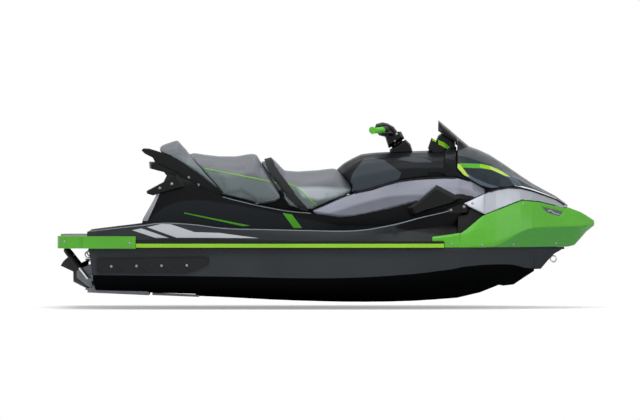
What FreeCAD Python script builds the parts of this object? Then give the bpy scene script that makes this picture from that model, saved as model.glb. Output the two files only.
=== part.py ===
# A three-seat personal watercraft with a jet pump, as an assembly of separate pieces.
# Frame: +X towards the bow, +Y to port, +Z up. The origin lies on the centreline in the plane
# of the water that the craft floats in, 43% of the length ahead of the stern.
import FreeCAD, Part
import math
import os

import Sketcher
from FreeCAD import Vector

doc = FreeCAD.newDocument("personal_watercraft")
sheet = doc.addObject("Spreadsheet::Sheet", "Sizes")

# Driving dimensions in millimetres and degrees, with counts
sizes = [
    ("length_overall", 3580, "stern bumper to bow bumper"),
    ("beam_overall", 1195, "over the rub rails"),
    ("height_overall", 1218, "keel to the top of the windscreen"),
    ("draught", 285, "water plane above the lowest point of the keel"),
    ("seam_gap", 0.3, "between fixed pieces"),
    ("overrun", 20, "cuts beyond what they cut"),
    ("rail_thickness", 21, "rub rail and its stripe, out from the bond flange"),
    ("rail_height", 50, "rub rail"),
    ("rail_drop", 10, "rub rail below the bond plane"),
    ("rail_stripe_height", 26, "coloured insert of the rub rail"),
    ("rail_stripe_proud", 3, "insert beyond the rail"),
    ("flange_height", 17, "hull flange under the bond plane"),
    ("flange_reach", 12, "bond flange beyond the hull's side"),
    ("strake_ledge", 26, "width of the ledge under the chine and the strake"),
    ("gunwale_width", 38, "flat top of the gunwale"),
    ("shell_thickness", 18, "fairing, hood, fender and bumper mouldings"),
    ("panel_gap", 6, "between the hatch and what it shuts against"),
    ("bumper_thickness", 20, "stern bumpers"),
    ("sponson_proud", 30, "sponsons out from the hull's side"),
    ("mat_thickness", 6, "foam deck mats"),
    ("engine_length", 720, "engine block"),
    ("engine_width", 400, "engine block"),
    ("engine_height", 400, "engine block"),
    ("engine_floor", 185, "engine block's underside below the water plane"),
    ("engine_clearance", 12, "engine block to the walls of its bay"),
    ("bin_wall", 4, "storage bin"),
    ("pump_bore", 160, "inside of the pump round the impeller"),
    ("pump_wall", 12, "wall of the pump housing"),
    ("pump_drop", 100, "pump axis below the water plane"),
    ("pump_length", 250, "pump housing round the impeller and the vanes"),
    ("pump_outlet", 96, "inside of the pump's rear end"),
    ("cone_length", 80, "tapered rear end of the pump"),
    ("recess_depth", 300, "pump recess ahead of the transom"),
    ("recess_width", 290, "pump recess"),
    ("duct_width", 164, "intake duct"),
    ("shaft_radius", 14, "drive shaft"),
    ("impeller_hub_radius", 32, "impeller"),
    ("impeller_length", 78, "impeller"),
    ("impeller_clearance", 5, "blade tips to the bore, and blades to the vanes"),
    ("impeller_blades", 4, "count"),
    ("blade_thickness", 5, "impeller blades and stator vanes"),
    ("blade_twist", 70, "turn of an impeller blade over its length"),
    ("stator_vanes", 6, "count"),
    ("nozzle_length", 96, "steering nozzle behind its pivot"),
    ("nozzle_lead", 5, "steering nozzle ahead of its pivot"),
    ("nozzle_skirt", 20, "straight part of the nozzle behind its pivot"),
    ("nozzle_bore", 166, "steering nozzle, at its mouth over the pump's rear end"),
    ("nozzle_outlet", 88, "steering nozzle, at its rear end"),
    ("nozzle_wall", 6, "steering nozzle"),
    ("bucket_radius", 131, "reverse bucket, inside, from its pivot"),
    ("bucket_wall", 9, "reverse bucket"),
    ("bucket_half_width", 106, "reverse bucket, outside of its cheeks"),
    ("bracket_gap", 5, "running clearance beside the bucket"),
    ("bracket_thickness", 8, "pump brackets"),
    ("ride_plate_width", 300, "ride plate"),
    ("grate_width", 150, "intake grate"),
    ("grate_bar", 9, "intake grate bars"),
    ("grate_bars", 5, "count"),
    ("step_arm_radius", 11, "boarding step tube"),
    ("step_grip_radius", 19, "rubber on the boarding step"),
    ("step_half_width", 172, "boarding step arms from the centreline"),
    ("bar_radius", 11, "handlebar tube"),
    ("bar_half_width", 390, "handlebar, centre to the ends of its grips"),
    ("grip_radius", 18, "handlebar grips"),
    ("grip_length", 126, "handlebar grips"),
    ("grip_flange", 5, "flanges at both ends of a grip"),
    ("column_height", 111, "steering column's pin above its foot"),
    ("bar_rise", 152, "handlebar's centre above the column's foot"),
    ("collar_radius", 28, "neck of the steering column inside its cover"),
    ("collar_clearance", 6, "cover to the neck"),
    ("eye_radius", 5, "rod of the tow and tie-down eyes"),
    ("eye_opening", 15, "inside of an eye"),
    ("pivot_radius", 7, "pins of the step, the bucket and the nozzle"),
    ("hinge_radius", 6, "knuckles of the hatch's hinge"),
    ("hinge_pin_radius", 3, "hatch's hinge"),
    ("hinge_knuckle", 22, "length of a knuckle of the hatch's hinge"),
    ("pin_clearance", 0.05, "between a pin and the hole that turns on it"),
    ("screen_thickness", 5, "windscreen"),
    ("lens_depth", 8, "recess of the bow lamps"),
    ("vent_slat", 5, "slats of the side vents"),
    ("strap_thickness", 4, "strap over the seat's joint"),
]

for row, (alias, number, note) in enumerate(sizes, start=1):
    sheet.set(f"A{row}", alias)
    sheet.set(f"B{row}", str(number))
    sheet.setAlias(f"B{row}", alias)
    sheet.set(f"C{row}", note)
doc.recompute()


def size(alias):
    return float(sheet.get(alias))


# The side view's frame: where the stern, the bow, the keel and the top lie in the photograph
stern_pixel = 59.4
bow_pixel = 594.4
keel_pixel = 302.5
top_pixel = 120.5
origin_share = 0.431

length = size("length_overall")
height = size("height_overall")
seam = size("seam_gap")
overrun = size("overrun")
bond_half = size("beam_overall") / 2 - size("rail_thickness")


def x_at(pixel):
    share = (pixel - stern_pixel) / (bow_pixel - stern_pixel)
    return (share - origin_share) * length


def z_at(pixel):
    share = (keel_pixel - pixel) / (keel_pixel - top_pixel)
    return share * height - size("draught")


def across(share):
    return share * bond_half


def read(table, pixel, column=1):
    """Smooth reading of a table whose first column runs along the side view.

    Between two rows it is a cubic with their slopes, and past the ends it keeps the last value.
    """
    if pixel <= table[0][0]:
        return table[0][column]
    if pixel >= table[-1][0]:
        return table[-1][column]
    last = max(i for i, row in enumerate(table) if row[0] <= pixel)
    rows = [table[min(max(i, 0), len(table) - 1)] for i in range(last - 1, last + 3)]
    span = rows[2][0] - rows[1][0]
    steps = []
    for low, high in zip(rows, rows[1:]):
        run = high[0] - low[0]
        steps.append((high[column] - low[column]) / run if run else 0)
    if rows[0][0] == rows[1][0]:
        steps[0] = steps[1]
    if rows[3][0] == rows[2][0]:
        steps[2] = steps[1]
    slopes = []
    for before, after in zip(steps, steps[1:]):
        slopes.append(2 * before * after / (before + after) if before * after > 0 else 0)
    u = (pixel - rows[1][0]) / span
    return (
        rows[1][column] * (1 + 2 * u) * (1 - u) ** 2 + slopes[0] * span * u * (1 - u) ** 2
        + rows[2][column] * u ** 2 * (3 - 2 * u) - slopes[1] * span * u ** 2 * (1 - u)
    )


def closed(points):
    kept = [p for i, p in enumerate(points) if p.distanceToPoint(points[i - 1]) > 1e-6]
    return Part.makePolygon(kept + [kept[0]])


def section(pixel, half, lean=0):
    """A closed cross-section at a place along the craft, from (y, z) pairs of its port half."""
    x = x_at(pixel)
    port = [Vector(x + lean * (bond_z - z), y, z) for y, z in half]
    starboard = [Vector(v.x, -v.y, v.z) for v in reversed(port)]
    return closed(port + starboard)


def stations(first, last, count):
    return [first + (last - first) * i / (count - 1) for i in range(count)]


def loft(places, half_outline, lean=0):
    """A solid through the sections that a half outline gives at places along the craft."""
    wires = [section(places[0], half_outline(places[0]), lean)]
    wires += [section(p, half_outline(p)) for p in places[1:]]
    return Part.makeLoft(wires, True, True)


def side_prism(outline_pixels, low, high):
    """A side-view outline carried across the craft from one y to another."""
    corners = [Vector(x_at(px), low, z_at(py)) for px, py in outline_pixels]
    return Part.Face(closed(corners)).extrude(Vector(0, high - low, 0))


def wide_prism(outline_pixels):
    return side_prism(outline_pixels, -size("beam_overall"), size("beam_overall"))


def side_arc(foot, edge, count):
    """A bulging side, as a quarter ellipse from its foot to the edge of the crown, both (y, z)."""
    turns = [math.pi / 2 * i / count for i in range(count + 1)]
    return [
        (edge[0] + (foot[0] - edge[0]) * math.cos(t), foot[1] + (edge[1] - foot[1]) * math.sin(t))
        for t in turns
    ]


def pillow(outline_pixels, low, high, edge_share, draw_share):
    """A side-view outline carried across the craft and drawn in towards its middle at both ends."""
    middle_px = sum(px for px, py in outline_pixels) / len(outline_pixels)
    middle_py = sum(py for px, py in outline_pixels) / len(outline_pixels)
    edge = (high - low) * edge_share
    wires = []
    for y, draw in ((low, draw_share), (low + edge, 1), (high - edge, 1), (high, draw_share)):
        drawn = [(middle_px + (px - middle_px) * draw, middle_py + (py - middle_py) * draw)
                 for px, py in outline_pixels]
        wires.append(closed([Vector(x_at(px), y, z_at(py)) for px, py in drawn]))
    return Part.makeLoft(wires, True, True)


def mirrored(shape):
    return shape.mirror(Vector(0, 0, 0), Vector(0, 1, 0))


def pair(shape):
    return Part.makeCompound([shape, mirrored(shape)])


def tidy(shape):
    """The solids of a boolean's result, without slivers."""
    least = size("seam_gap") * size("overrun") ** 2
    kept = [s for s in shape.Solids if s.Volume > least]
    return kept[0] if len(kept) == 1 else Part.makeCompound(kept)


def block(low, high):
    return Part.makeBox(high[0] - low[0], high[1] - low[1], high[2] - low[2], Vector(*low))


def rod(start, end, radius):
    way = end - start
    return Part.makeCylinder(radius, way.Length, start, way)


def node(name, shape):
    piece = doc.addObject("Part::Feature", name)
    piece.Shape = shape
    return piece


# Hull: chine, strake and keel, as (pixel along, half-width share, pixel down)
bond_pixel = 247.0
bond_width_shares = [
    (59, 0.865), (91, 0.90), (150, 0.95), (230, 0.985), (314, 1.0), (398, 0.98), (450, 0.91),
    (500, 0.74), (520, 0.62), (538, 0.47), (555, 0.27), (564, 0.10),
]
chine_shares = [
    (84, 0.86, 274), (150, 0.90, 274.7), (230, 0.93, 275.6), (314, 0.93, 277.4),
    (398, 0.88, 274.2), (450, 0.76, 268.6), (500, 0.56, 264.2), (518, 0.42, 266.1),
    (534, 0.10, 268.7),
]
nose_shares = [(534, 0.10, 269.5), (538, 0.05, 271), (545, 0.04, 264), (555, 0.03, 253.6), (561, 0.02, 250.5)]
upper_strake_shares = [
    (84, 0.70, 281.5), (150, 0.76, 282), (230, 0.80, 282.8), (314, 0.80, 283.3),
    (398, 0.74, 280), (440, 0.63, 276.5), (481, 0.46, 271.5), (507, 0.28, 270.5),
    (533, 0.03, 270.2),
]
lower_strake_shares = [
    (84, 0.40, 289.6), (150, 0.43, 290), (230, 0.45, 290.3), (314, 0.45, 291.7),
    (398, 0.40, 290.5), (440, 0.32, 288), (481, 0.20, 281.5), (507.3, 0.06, 286.5),
    (533, 0.02, 271.5),
]
keel_shares = [
    (84, 291.4), (110, 293), (160, 295), (230, 298), (290, 301), (360, 302.5), (400, 302),
    (440, 299.8), (458, 298.3), (481, 292.7), (503, 283.8),
]
bond_z = z_at(bond_pixel)
rise = size("strake_ledge")


def topside(pixel, chine):
    """Side of the hull from the chine up to the bond flange, with a slight hollow."""
    half_chine = across(read(chine, pixel))
    half_top = max(across(read(bond_width_shares, pixel)) - size("flange_reach"), half_chine / 2)
    low = z_at(read(chine, pixel, 2))
    top = bond_z - seam
    hollow = (half_chine * 0.62 + half_top * 0.38, low * 0.62 + top * 0.38)
    return [(half_chine, low), hollow, (half_top, top), (0, top)]


def bilge(pixel):
    """From the lower strake past the upper one to the ledge under the chine."""
    knee = (across(read(upper_strake_shares, pixel)), z_at(read(upper_strake_shares, pixel, 2)))
    foot = (across(read(lower_strake_shares, pixel)), z_at(read(lower_strake_shares, pixel, 2)))
    inner = max(across(read(chine_shares, pixel)) - size("strake_ledge"), knee[0] * 1.02)
    return [foot, knee, (inner, z_at(read(chine_shares, pixel, 2)))] + topside(pixel, chine_shares)


def whole_bottom(pixel):
    foot_half = across(read(lower_strake_shares, pixel)) - size("strake_ledge")
    foot = z_at(read(lower_strake_shares, pixel, 2))
    return [(0, z_at(read(keel_shares, pixel))), (max(foot_half, across(0.02)), foot)] + bilge(pixel)


def stem_bottom(pixel):
    return [(0, z_at(read(lower_strake_shares, pixel, 2)))] + bilge(pixel)


def nose_bottom(pixel):
    return [(0, z_at(read(nose_shares, pixel, 2)))] + topside(pixel, nose_shares)


nose_pixel = 564.0


def plan_outline(offset, z, first, last):
    """The bond flange seen from above, as one closed wire with a rounded bow."""
    between = [row[0] for row in bond_width_shares if first < row[0] < last]
    places = [first] + between + ([last] if last <= nose_pixel else [])
    port = [Vector(x_at(p), across(read(bond_width_shares, p)) + offset, z) for p in places]
    curve = Part.BSplineCurve()
    curve.interpolate(port)
    other = Part.BSplineCurve()
    other.interpolate([Vector(p.x, -p.y, p.z) for p in port])
    ends = [
        Part.LineSegment(port[-1], Vector(port[-1].x, -port[-1].y, z)).toShape(),
        Part.LineSegment(Vector(port[0].x, -port[0].y, z), port[0]).toShape(),
    ]
    edges = [curve.toShape(), ends[0], other.toShape(), ends[1]]
    return Part.Wire(Part.__sortEdges__(edges))


def plan_slab(offset, low, high, first, last):
    face = Part.Face(plan_outline(offset, low, first, last))
    return face.extrude(Vector(0, 0, high - low))


keel_end_pixel = 503
stem_end_pixel = 534
nose_end_pixel = 561
transom_top_pixel = 90.3
transom_pixel = 92.8
transom_lean = 0.14
aft_hull = loft(stations(transom_top_pixel, keel_end_pixel, 19), whole_bottom, transom_lean)
stem = loft(stations(keel_end_pixel, stem_end_pixel, 4), stem_bottom)
nose = loft(stations(stem_end_pixel, nose_end_pixel, 5), nose_bottom)
flange = plan_slab(0, bond_z - size("flange_height"), bond_z - seam, transom_top_pixel, nose_pixel)
hull_body = aft_hull.fuse([stem, nose, flange])

# Pump recess, intake duct and engine bay, taken out of the hull
transom_x = x_at(transom_pixel)
transom_top_x = x_at(transom_top_pixel)
recess_x = transom_x + size("recess_depth")
pump_z = -size("pump_drop")
recess_top = pump_z + size("pump_bore") / 2 + size("pump_wall") + size("overrun")
hull_floor_pixel = 310
hull_floor = z_at(hull_floor_pixel)
recess = block(
    (transom_x - size("recess_depth"), -size("recess_width") / 2, hull_floor),
    (recess_x, size("recess_width") / 2, recess_top),
)
duct_pixels = [(136, 263.5), (152, 264.5), (176, 272), (203, 303), (155, 303), (147, 288), (136, 287)]
duct = side_prism(duct_pixels, -size("duct_width") / 2, size("duct_width") / 2)
engine_low = -size("engine_floor")
engine_top = engine_low + size("engine_height")
engine_rear_pixel = 213
engine_x = x_at(engine_rear_pixel)
bay_gap = size("engine_clearance")
bay_low = (engine_x - bay_gap, -size("engine_width") / 2 - bay_gap, engine_low)
bay_high = (
    engine_x + size("engine_length") + bay_gap,
    size("engine_width") / 2 + bay_gap,
    engine_top + bay_gap,
)
engine_bay = block(bay_low, bay_high)
hull = node("hull", tidy(hull_body.cut([recess, duct, engine_bay])))

engine = doc.addObject("Part::Box", "engine_block")
engine.setExpression("Length", "Sizes.engine_length")
engine.setExpression("Width", "Sizes.engine_width")
engine.setExpression("Height", "Sizes.engine_height")
engine.Placement.Base.x = engine_x
engine.setExpression("Placement.Base.y", "-Sizes.engine_width / 2")
engine.setExpression("Placement.Base.z", "-Sizes.engine_floor")

# Deck: footwells between the gunwales, a rear platform, the seat pedestal and the fore core
rim_shares = [
    (89, 0.84, 231), (146, 0.87, 224), (162, 0.88, 222), (200, 0.90, 224), (226, 0.91, 227.3),
    (260, 0.91, 228.2), (340, 0.91, 230), (370, 0.90, 228.2), (400, 0.865, 222),
    (419, 0.835, 216.7), (444, 0.79, 211), (455, 0.765, 207), (478, 0.70, 203),
]
floor_pixels = [
    (89, 231.6), (130, 229), (150, 229.3), (180, 236), (230, 241), (400, 241), (450, 238),
    (478, 238),
]
scoop_shares = [(89, 0.0), (360, 0.0), (400, 0.04), (444, 0.10), (478, 0.14)]
floor_half_share = 0.83
gunwale_foot_pixel = 240.5


def gunwale(pixel):
    """Bond flange, and the gunwale's hollow outer side up to its rim."""
    flange_half = across(read(bond_width_shares, pixel))
    rim_half = across(read(rim_shares, pixel))
    rim = z_at(read(rim_shares, pixel, 2))
    foot = z_at(gunwale_foot_pixel)
    hollow = (flange_half + rim_half) / 2 - across(read(scoop_shares, pixel))
    edge = size("gunwale_width") / 4
    return [
        (0, bond_z), (flange_half, bond_z), (flange_half, foot), (hollow, (foot + rim) / 2),
        (rim_half, rim - edge), (rim_half - edge, rim),
    ]


def tray(pixel):
    """Gunwale and footwell floor."""
    rim_half = across(read(rim_shares, pixel))
    rim = z_at(read(rim_shares, pixel, 2))
    floor = z_at(read(floor_pixels, pixel))
    inner = rim_half - size("gunwale_width")
    floor_half = min(across(floor_half_share), inner - size("gunwale_width") / 2)
    return gunwale(pixel) + [(inner, rim), (floor_half, floor), (0, floor)]


def filled_gunwale(pixel):
    return gunwale(pixel) + [(0, z_at(read(rim_shares, pixel, 2)))]


deck_tray = loft(stations(89, 460, 18), tray)

platform_aft_pixel = 62.5
platform_fore_pixel = 92
platform_pixel = 236.0
platform_half_share = 0.87
platform_corner_share = 0.13


def rounded_plan(aft_x, fore_x, half, corner, low, high):
    """A slab whose two aft corners are rounded, seen from above."""
    a = Vector(aft_x, half - corner, low)
    b = Vector(aft_x + corner, half, low)
    middle = Vector(aft_x + corner * (1 - math.sqrt(0.5)), half - corner * (1 - math.sqrt(0.5)), low)
    flip = [Vector(v.x, -v.y, v.z) for v in (a, middle, b)]
    edges = [
        Part.Arc(a, middle, b).toShape(),
        Part.LineSegment(b, Vector(fore_x, half, low)).toShape(),
        Part.LineSegment(Vector(fore_x, half, low), Vector(fore_x, -half, low)).toShape(),
        Part.LineSegment(Vector(fore_x, -half, low), flip[2]).toShape(),
        Part.Arc(flip[2], flip[1], flip[0]).toShape(),
        Part.LineSegment(flip[0], a).toShape(),
    ]
    return Part.Face(Part.Wire(edges)).extrude(Vector(0, 0, high - low))


platform_half = across(platform_half_share)
platform_corner = across(platform_corner_share)
platform = rounded_plan(
    x_at(platform_aft_pixel), x_at(platform_fore_pixel), platform_half, platform_corner, bond_z,
    z_at(platform_pixel),
)

pedestal_shares = [
    (140, 0.44, 0.40), (165, 0.46, 0.38), (210, 0.47, 0.38), (260, 0.47, 0.38), (313, 0.47, 0.385),
    (372, 0.47, 0.37),
]
head_share = 0.8
pedestal_levels_pixels = (245, 232, 168)
pedestal_pixels = [
    (143.5, 219), (141, 232), (141, 243), (372, 243), (372, 200), (349, 213), (313, 213),
    (295.6, 211.7), (276.5, 208.8), (257.4, 204.5), (222, 196), (205, 190), (190, 181), (168.3, 174),
    (151, 206),
]


def pedestal_section(pixel):
    foot = across(read(pedestal_shares, pixel))
    head = across(read(pedestal_shares, pixel, 2))
    low, knee, top = [z_at(level) for level in pedestal_levels_pixels]
    return [(0, low), (foot, low)] + side_arc((foot, knee), (head * head_share, top), 4) + [(0, top)]


pedestal_envelope = loft([139, 152, 165, 210, 260, 313, 373], pedestal_section)
pedestal = pedestal_envelope.common(wide_prism(pedestal_pixels))

# Body ahead of the seat: foot of the side fairings, their lower edge and their upper edge
fairing_foot_shares = [(313, 0.47), (350, 0.52), (400, 0.58), (440, 0.66), (461, 0.69), (486, 0.70)]
fairing_low_shares = [
    (313, 0.46, 212.5), (338, 0.53, 217.5), (350, 0.55, 217.2), (388, 0.585, 209.4),
    (415, 0.62, 202.5), (445, 0.67, 199), (461, 0.70, 200), (486, 0.72, 203),
]
fairing_top_shares = [
    (313, 0.44, 210.5), (338, 0.42, 199.8), (352, 0.39, 193.5), (362, 0.40, 192.2),
    (400, 0.44, 181.5), (425, 0.48, 178.8), (446, 0.52, 178), (461, 0.55, 178.5), (486, 0.55, 190.5),
]


cheek_foot_pixel = 244


def cheek(pixel, inset):
    """Section of the lower fore body, less an inset all round."""
    foot = across(read(fairing_foot_shares, pixel)) - inset
    low_half = across(read(fairing_low_shares, pixel)) - inset
    low = z_at(read(fairing_low_shares, pixel, 2))
    top_half = across(read(fairing_top_shares, pixel)) - inset
    top = z_at(read(fairing_top_shares, pixel, 2)) - inset
    under = z_at(cheek_foot_pixel) - inset
    return [
        (0, under), (foot, under), (low_half, low), (low_half, low + rise / 2),
        ((low_half + top_half) / 2 + rise / 4, (low + top) / 2 + rise / 4), (top_half, top), (0, top),
    ]


cheek_stations = stations(313, 486, 13)
cheek_outer = loft(cheek_stations, lambda p: cheek(p, 0))
inner_stations = [311] + cheek_stations[1:-1] + [488]
cheek_inner = loft(inner_stations, lambda p: cheek(p, size("shell_thickness")))
fairing_pixels = [
    (312.9, 212.2), (316.7, 215), (338.7, 218.1), (350, 217.4), (388.5, 209.4), (415, 202.4),
    (440, 196.5), (461, 194.5), (484.5, 200), (484.5, 189), (461, 170), (400, 170), (352, 185), (319.5, 200),
    (312.9, 208),
]
fairing_shell = cheek_outer.common(wide_prism(fairing_pixels)).cut(cheek_inner)
cheek_band = cheek_outer.cut(fairing_shell)

# Fore deck, along the craft: half-width shares of the bumper's foot, its crease, its ridge and the
# fender's shoulder, each but the foot followed by its pixel down
fore_shares = [
    (459, 0.90, 0.905, 245.2, 0.885, 236.0, 0.72, 205), (483, 0.85, 0.880, 245.0, 0.845, 226.0, 0.73, 194),
    (492, 0.815, 0.855, 243.4, 0.805, 221.0, 0.69, 190.6),
    (505, 0.75, 0.795, 238.6, 0.73, 214.6, 0.63, 187.9),
    (520, 0.67, 0.720, 231.4, 0.65, 210.0, 0.54, 188.5), (538, 0.53, 0.590, 226.6, 0.525, 211.6, 0.43, 193.8),
    (555, 0.36, 0.450, 226.2, 0.385, 215.4, 0.30, 199.8), (567, 0.24, 0.350, 226.4, 0.28, 217.4, 0.21, 207.5),
    (580, 0.14, 0.250, 226.6, 0.19, 219.6, 0.14, 212.2), (594, 0.02, 0.060, 224.6, 0.04, 222.4, 0.02, 221.0),
]
fore_foot_pixels = [(459, 247), (567, 247), (575, 245), (583, 235), (594, 226)]


def bow(pixel, inset):
    foot = across(read(fore_shares, pixel)) - inset
    crease = across(read(fore_shares, pixel, 2)) - inset
    crease_z = z_at(read(fore_shares, pixel, 3))
    ridge = across(read(fore_shares, pixel, 4)) - inset
    ridge_z = z_at(read(fore_shares, pixel, 5))
    shoulder = across(read(fore_shares, pixel, 6)) - inset
    top = z_at(read(fore_shares, pixel, 7)) - inset
    low = z_at(read(fore_foot_pixels, pixel)) - inset
    return [(0, low), (foot, low), (crease, crease_z), (ridge, ridge_z), (shoulder, top), (0, top)]


bow_stations = stations(459, 567, 10) + [574, 580, 586, 591, 594.2]
bow_outer = loft(bow_stations, lambda p: bow(p, 0))
bow_inner = loft([457] + bow_stations[1:9], lambda p: bow(p, size("shell_thickness")))
fender_pixels = [
    (459.3, 202.5), (483.5, 214), (520.7, 199.8), (538.6, 201.6), (565.4, 208.3), (566, 190), (459.3, 180),
]
bumper_pixels = [
    (459, 233), (466, 228), (480.6, 216), (483.5, 214.5), (520.7, 200.3), (538.6, 202.1), (565.4, 208.8),
    (566, 200), (600, 200), (600, 247.7), (459, 247.7),
]

fairing_shell = fairing_shell.cut(bow_outer)
node("side_fairings", tidy(fairing_shell))
fender = bow_outer.common(wide_prism(fender_pixels)).cut(bow_inner)
bumper = bow_outer.common(wide_prism(bumper_pixels)).cut(bow_inner)

# Lamps in recesses of the bumper's sides
lamp_pixels = [(538.8, 205.2), (564.9, 211.8), (559, 217), (546.6, 213.7), (542, 209.3)]
lens_pixels = [(541.5, 206.8), (562.5, 212), (558.5, 215.8), (547, 212.8), (543.5, 209.3)]
lamp_stations = stations(530, 574, 9)
lamp_floor = loft(lamp_stations, lambda p: bow(p, size("lens_depth")))
lens_front = loft(lamp_stations, lambda p: bow(p, size("lens_depth") / 2))
port_half = block((-length, 0, -height), (length, size("beam_overall"), height))
lens = lens_front.common(wide_prism(lens_pixels)).common(port_half).cut(lamp_floor)
node("bow_lamps", pair(tidy(lens)))
bumper = bumper.cut(wide_prism(lamp_pixels).cut(lamp_floor))

# Hood: rear edge, seam with the fenders, shoulder and crown
hood_shares = [
    (446, 0.50, 163, 0.36, 153, 148.5), (461, 0.53, 176, 0.36, 154, 146),
    (474, 0.54, 184.5, 0.36, 157, 149.5),
    (490, 0.53, 189.2, 0.345, 164, 156.5), (506, 0.48, 187.2, 0.31, 172.5, 167),
    (522, 0.40, 187.4, 0.26, 182, 178),
    (538, 0.31, 192.6, 0.20, 190.6, 188.2), (554, 0.20, 198.8, 0.13, 198, 196.4),
    (565.5, 0.11, 206.3, 0.07, 205.6, 204.6),
]


def hood(pixel, inset):
    seam_half = across(read(hood_shares, pixel)) - inset
    seam_z = z_at(read(hood_shares, pixel, 2))
    shoulder = across(read(hood_shares, pixel, 3)) - inset
    shoulder_z = z_at(read(hood_shares, pixel, 4)) - inset
    crown = z_at(read(hood_shares, pixel, 5)) - inset
    side = side_arc((seam_half, seam_z - inset), (shoulder, shoulder_z), 3)
    return [(0, seam_z - inset)] + side + [(shoulder / 2, (crown * 3 + shoulder_z) / 4), (0, crown)]


hood_stations = stations(446, 565.5, 12)
hood_outer = loft(hood_stations, lambda p: hood(p, 0))
hood_inner = loft(stations(449, 556, 10), lambda p: hood(p, size("shell_thickness")))
hatch_lift = Vector(0, 0, size("panel_gap"))
hatch_skirt = hood_outer.copy()
hatch_skirt.translate(hatch_lift)
hood_pixels = [
    (457.8, 130), (456.8, 169.8), (465, 176.6), (488, 190.8), (514, 185.4), (522, 188.4), (554.6, 198.8),
    (566, 207.6), (600, 208), (600, 130),
]
hatch_shape = hatch_skirt.cut(hood_inner).common(wide_prism(hood_pixels))
hinge_pixels = (566.5, 206)
hinge_x = x_at(hinge_pixels[0])
hinge_z = z_at(hinge_pixels[1])
knuckle = size("hinge_knuckle")
knuckle_low = knuckle / 2 + seam
knuckle_high = knuckle_low + knuckle


def hinge_rod(low, high, radius):
    return rod(Vector(hinge_x, low, hinge_z), Vector(hinge_x, high, hinge_z), radius)


hinge_radius = size("hinge_radius")
hinge_arm = block(
    (hinge_x - hinge_radius * 2.5, knuckle_low, hinge_z + hinge_radius / 2),
    (hinge_x, knuckle_high, hinge_z + hinge_radius * 1.5),
)
hinge_side = hinge_rod(knuckle_low, knuckle_high, hinge_radius).fuse(hinge_arm)
hinge_hole = hinge_rod(-length, length, size("hinge_pin_radius") + size("pin_clearance"))
hatch_shape = hatch_shape.fuse([hinge_side, mirrored(hinge_side)]).cut(hinge_hole)

# Fixed half of the hatch's hinge
hinge_lug = block(
    (hinge_x - hinge_radius, -knuckle / 2, hinge_z - hinge_radius * 5),
    (hinge_x + hinge_radius, knuckle / 2, hinge_z),
)
hinge_lug = hinge_lug.fuse([
    hinge_rod(-knuckle / 2, knuckle / 2, hinge_radius),
    hinge_rod(-knuckle_high - seam, knuckle_high + seam, size("hinge_pin_radius")),
])

# Front seat's outline, which the console's rear end follows round the seat's nose
front_seat_pixels = [
    (260.4, 161.3), (262, 155), (336, 155), (336.2, 171.2), (342.5, 175.1), (350, 182), (352.8, 186.6),
    (351.4, 191.8), (338, 201.4), (319.5, 210.6), (304, 211.4), (289, 207.3), (284, 200.4), (282.8, 195.8),
]

# Console between the seat and the hood
console_shares = [
    (335, 0.31, 200, 0.20, 178, 171.2), (338, 0.33, 198, 0.215, 174.6, 168.2),
    (346, 0.365, 193, 0.245, 169, 162.2),
    (354, 0.385, 191.8, 0.27, 164.6, 158), (362, 0.395, 191, 0.29, 160.8, 154.5),
    (385, 0.42, 184.5, 0.31, 158.5, 152.5), (400, 0.435, 180, 0.33, 158, 152),
    (425, 0.475, 177.2, 0.36, 158, 151.2), (444.5, 0.495, 177.2, 0.365, 157, 150.5),
]


def console_section(pixel):
    foot = across(read(console_shares, pixel))
    foot_z = z_at(read(console_shares, pixel, 2))
    shoulder = across(read(console_shares, pixel, 3))
    shoulder_z = z_at(read(console_shares, pixel, 4))
    crown = z_at(read(console_shares, pixel, 5))
    side = side_arc((foot, foot_z), (shoulder, shoulder_z), 3)
    return [(0, foot_z)] + side + [(shoulder / 2, (crown * 3 + shoulder_z) / 4), (0, crown)]


def under_hatch(pixel):
    """The hood's section carried down under the hatch's rear edge."""
    low = z_at(console_low_pixel)
    return [(0, low), (across(read(hood_shares, pixel)), low)] + hood(pixel, 0)[1:]


console_low_pixel = 198
console_body = loft(stations(335, 447.5, 14), console_section)
console_fore_pixels = [
    (444, 130), (456.8, 130), (455.8, 170.2), (464.4, 177.6), (484.8, 190.4), (484, 197), (444, 197),
]
vent_pixels = [(427, 173.6), (444.5, 174.4), (444.5, 178.6), (429, 178.9)]
vent_slot_pixels = (174.9, 177.6)
vent_low_share, vent_high_share, vent_out_share = 0.43, 0.455, 0.6
vent_low, vent_high = across(vent_low_share), across(vent_high_share)
vent_way = side_prism(vent_pixels, vent_low, across(vent_out_share))
console_fore = loft(stations(444, 490, 7), under_hatch).common(wide_prism(console_fore_pixels))
console_shape = console_body.fuse(console_fore)
console_shape = console_shape.cut([cheek_outer, vent_way, mirrored(vent_way), wide_prism(front_seat_pixels)])
console_shape = tidy(console_shape)

# Slatted vents in the console's sides
vent_pitch = size("vent_slat") * 2
vent_first, vent_last = x_at(vent_pixels[0][0]), x_at(vent_pixels[1][0])
vent_slots = []
for i in range(int((vent_last - vent_first) / vent_pitch)):
    slot_x = vent_first + vent_pitch * (i + 1)
    if slot_x + vent_pitch / 2 < vent_last:
        vent_slots.append(block(
            (slot_x, vent_low - overrun, z_at(vent_slot_pixels[1])),
            (slot_x + vent_pitch / 2, vent_high + overrun, z_at(vent_slot_pixels[0])),
        ))
vent = side_prism(vent_pixels, vent_low, vent_high).cut(vent_slots + [cheek_outer])
node("side_vents", pair(tidy(vent)))

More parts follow.
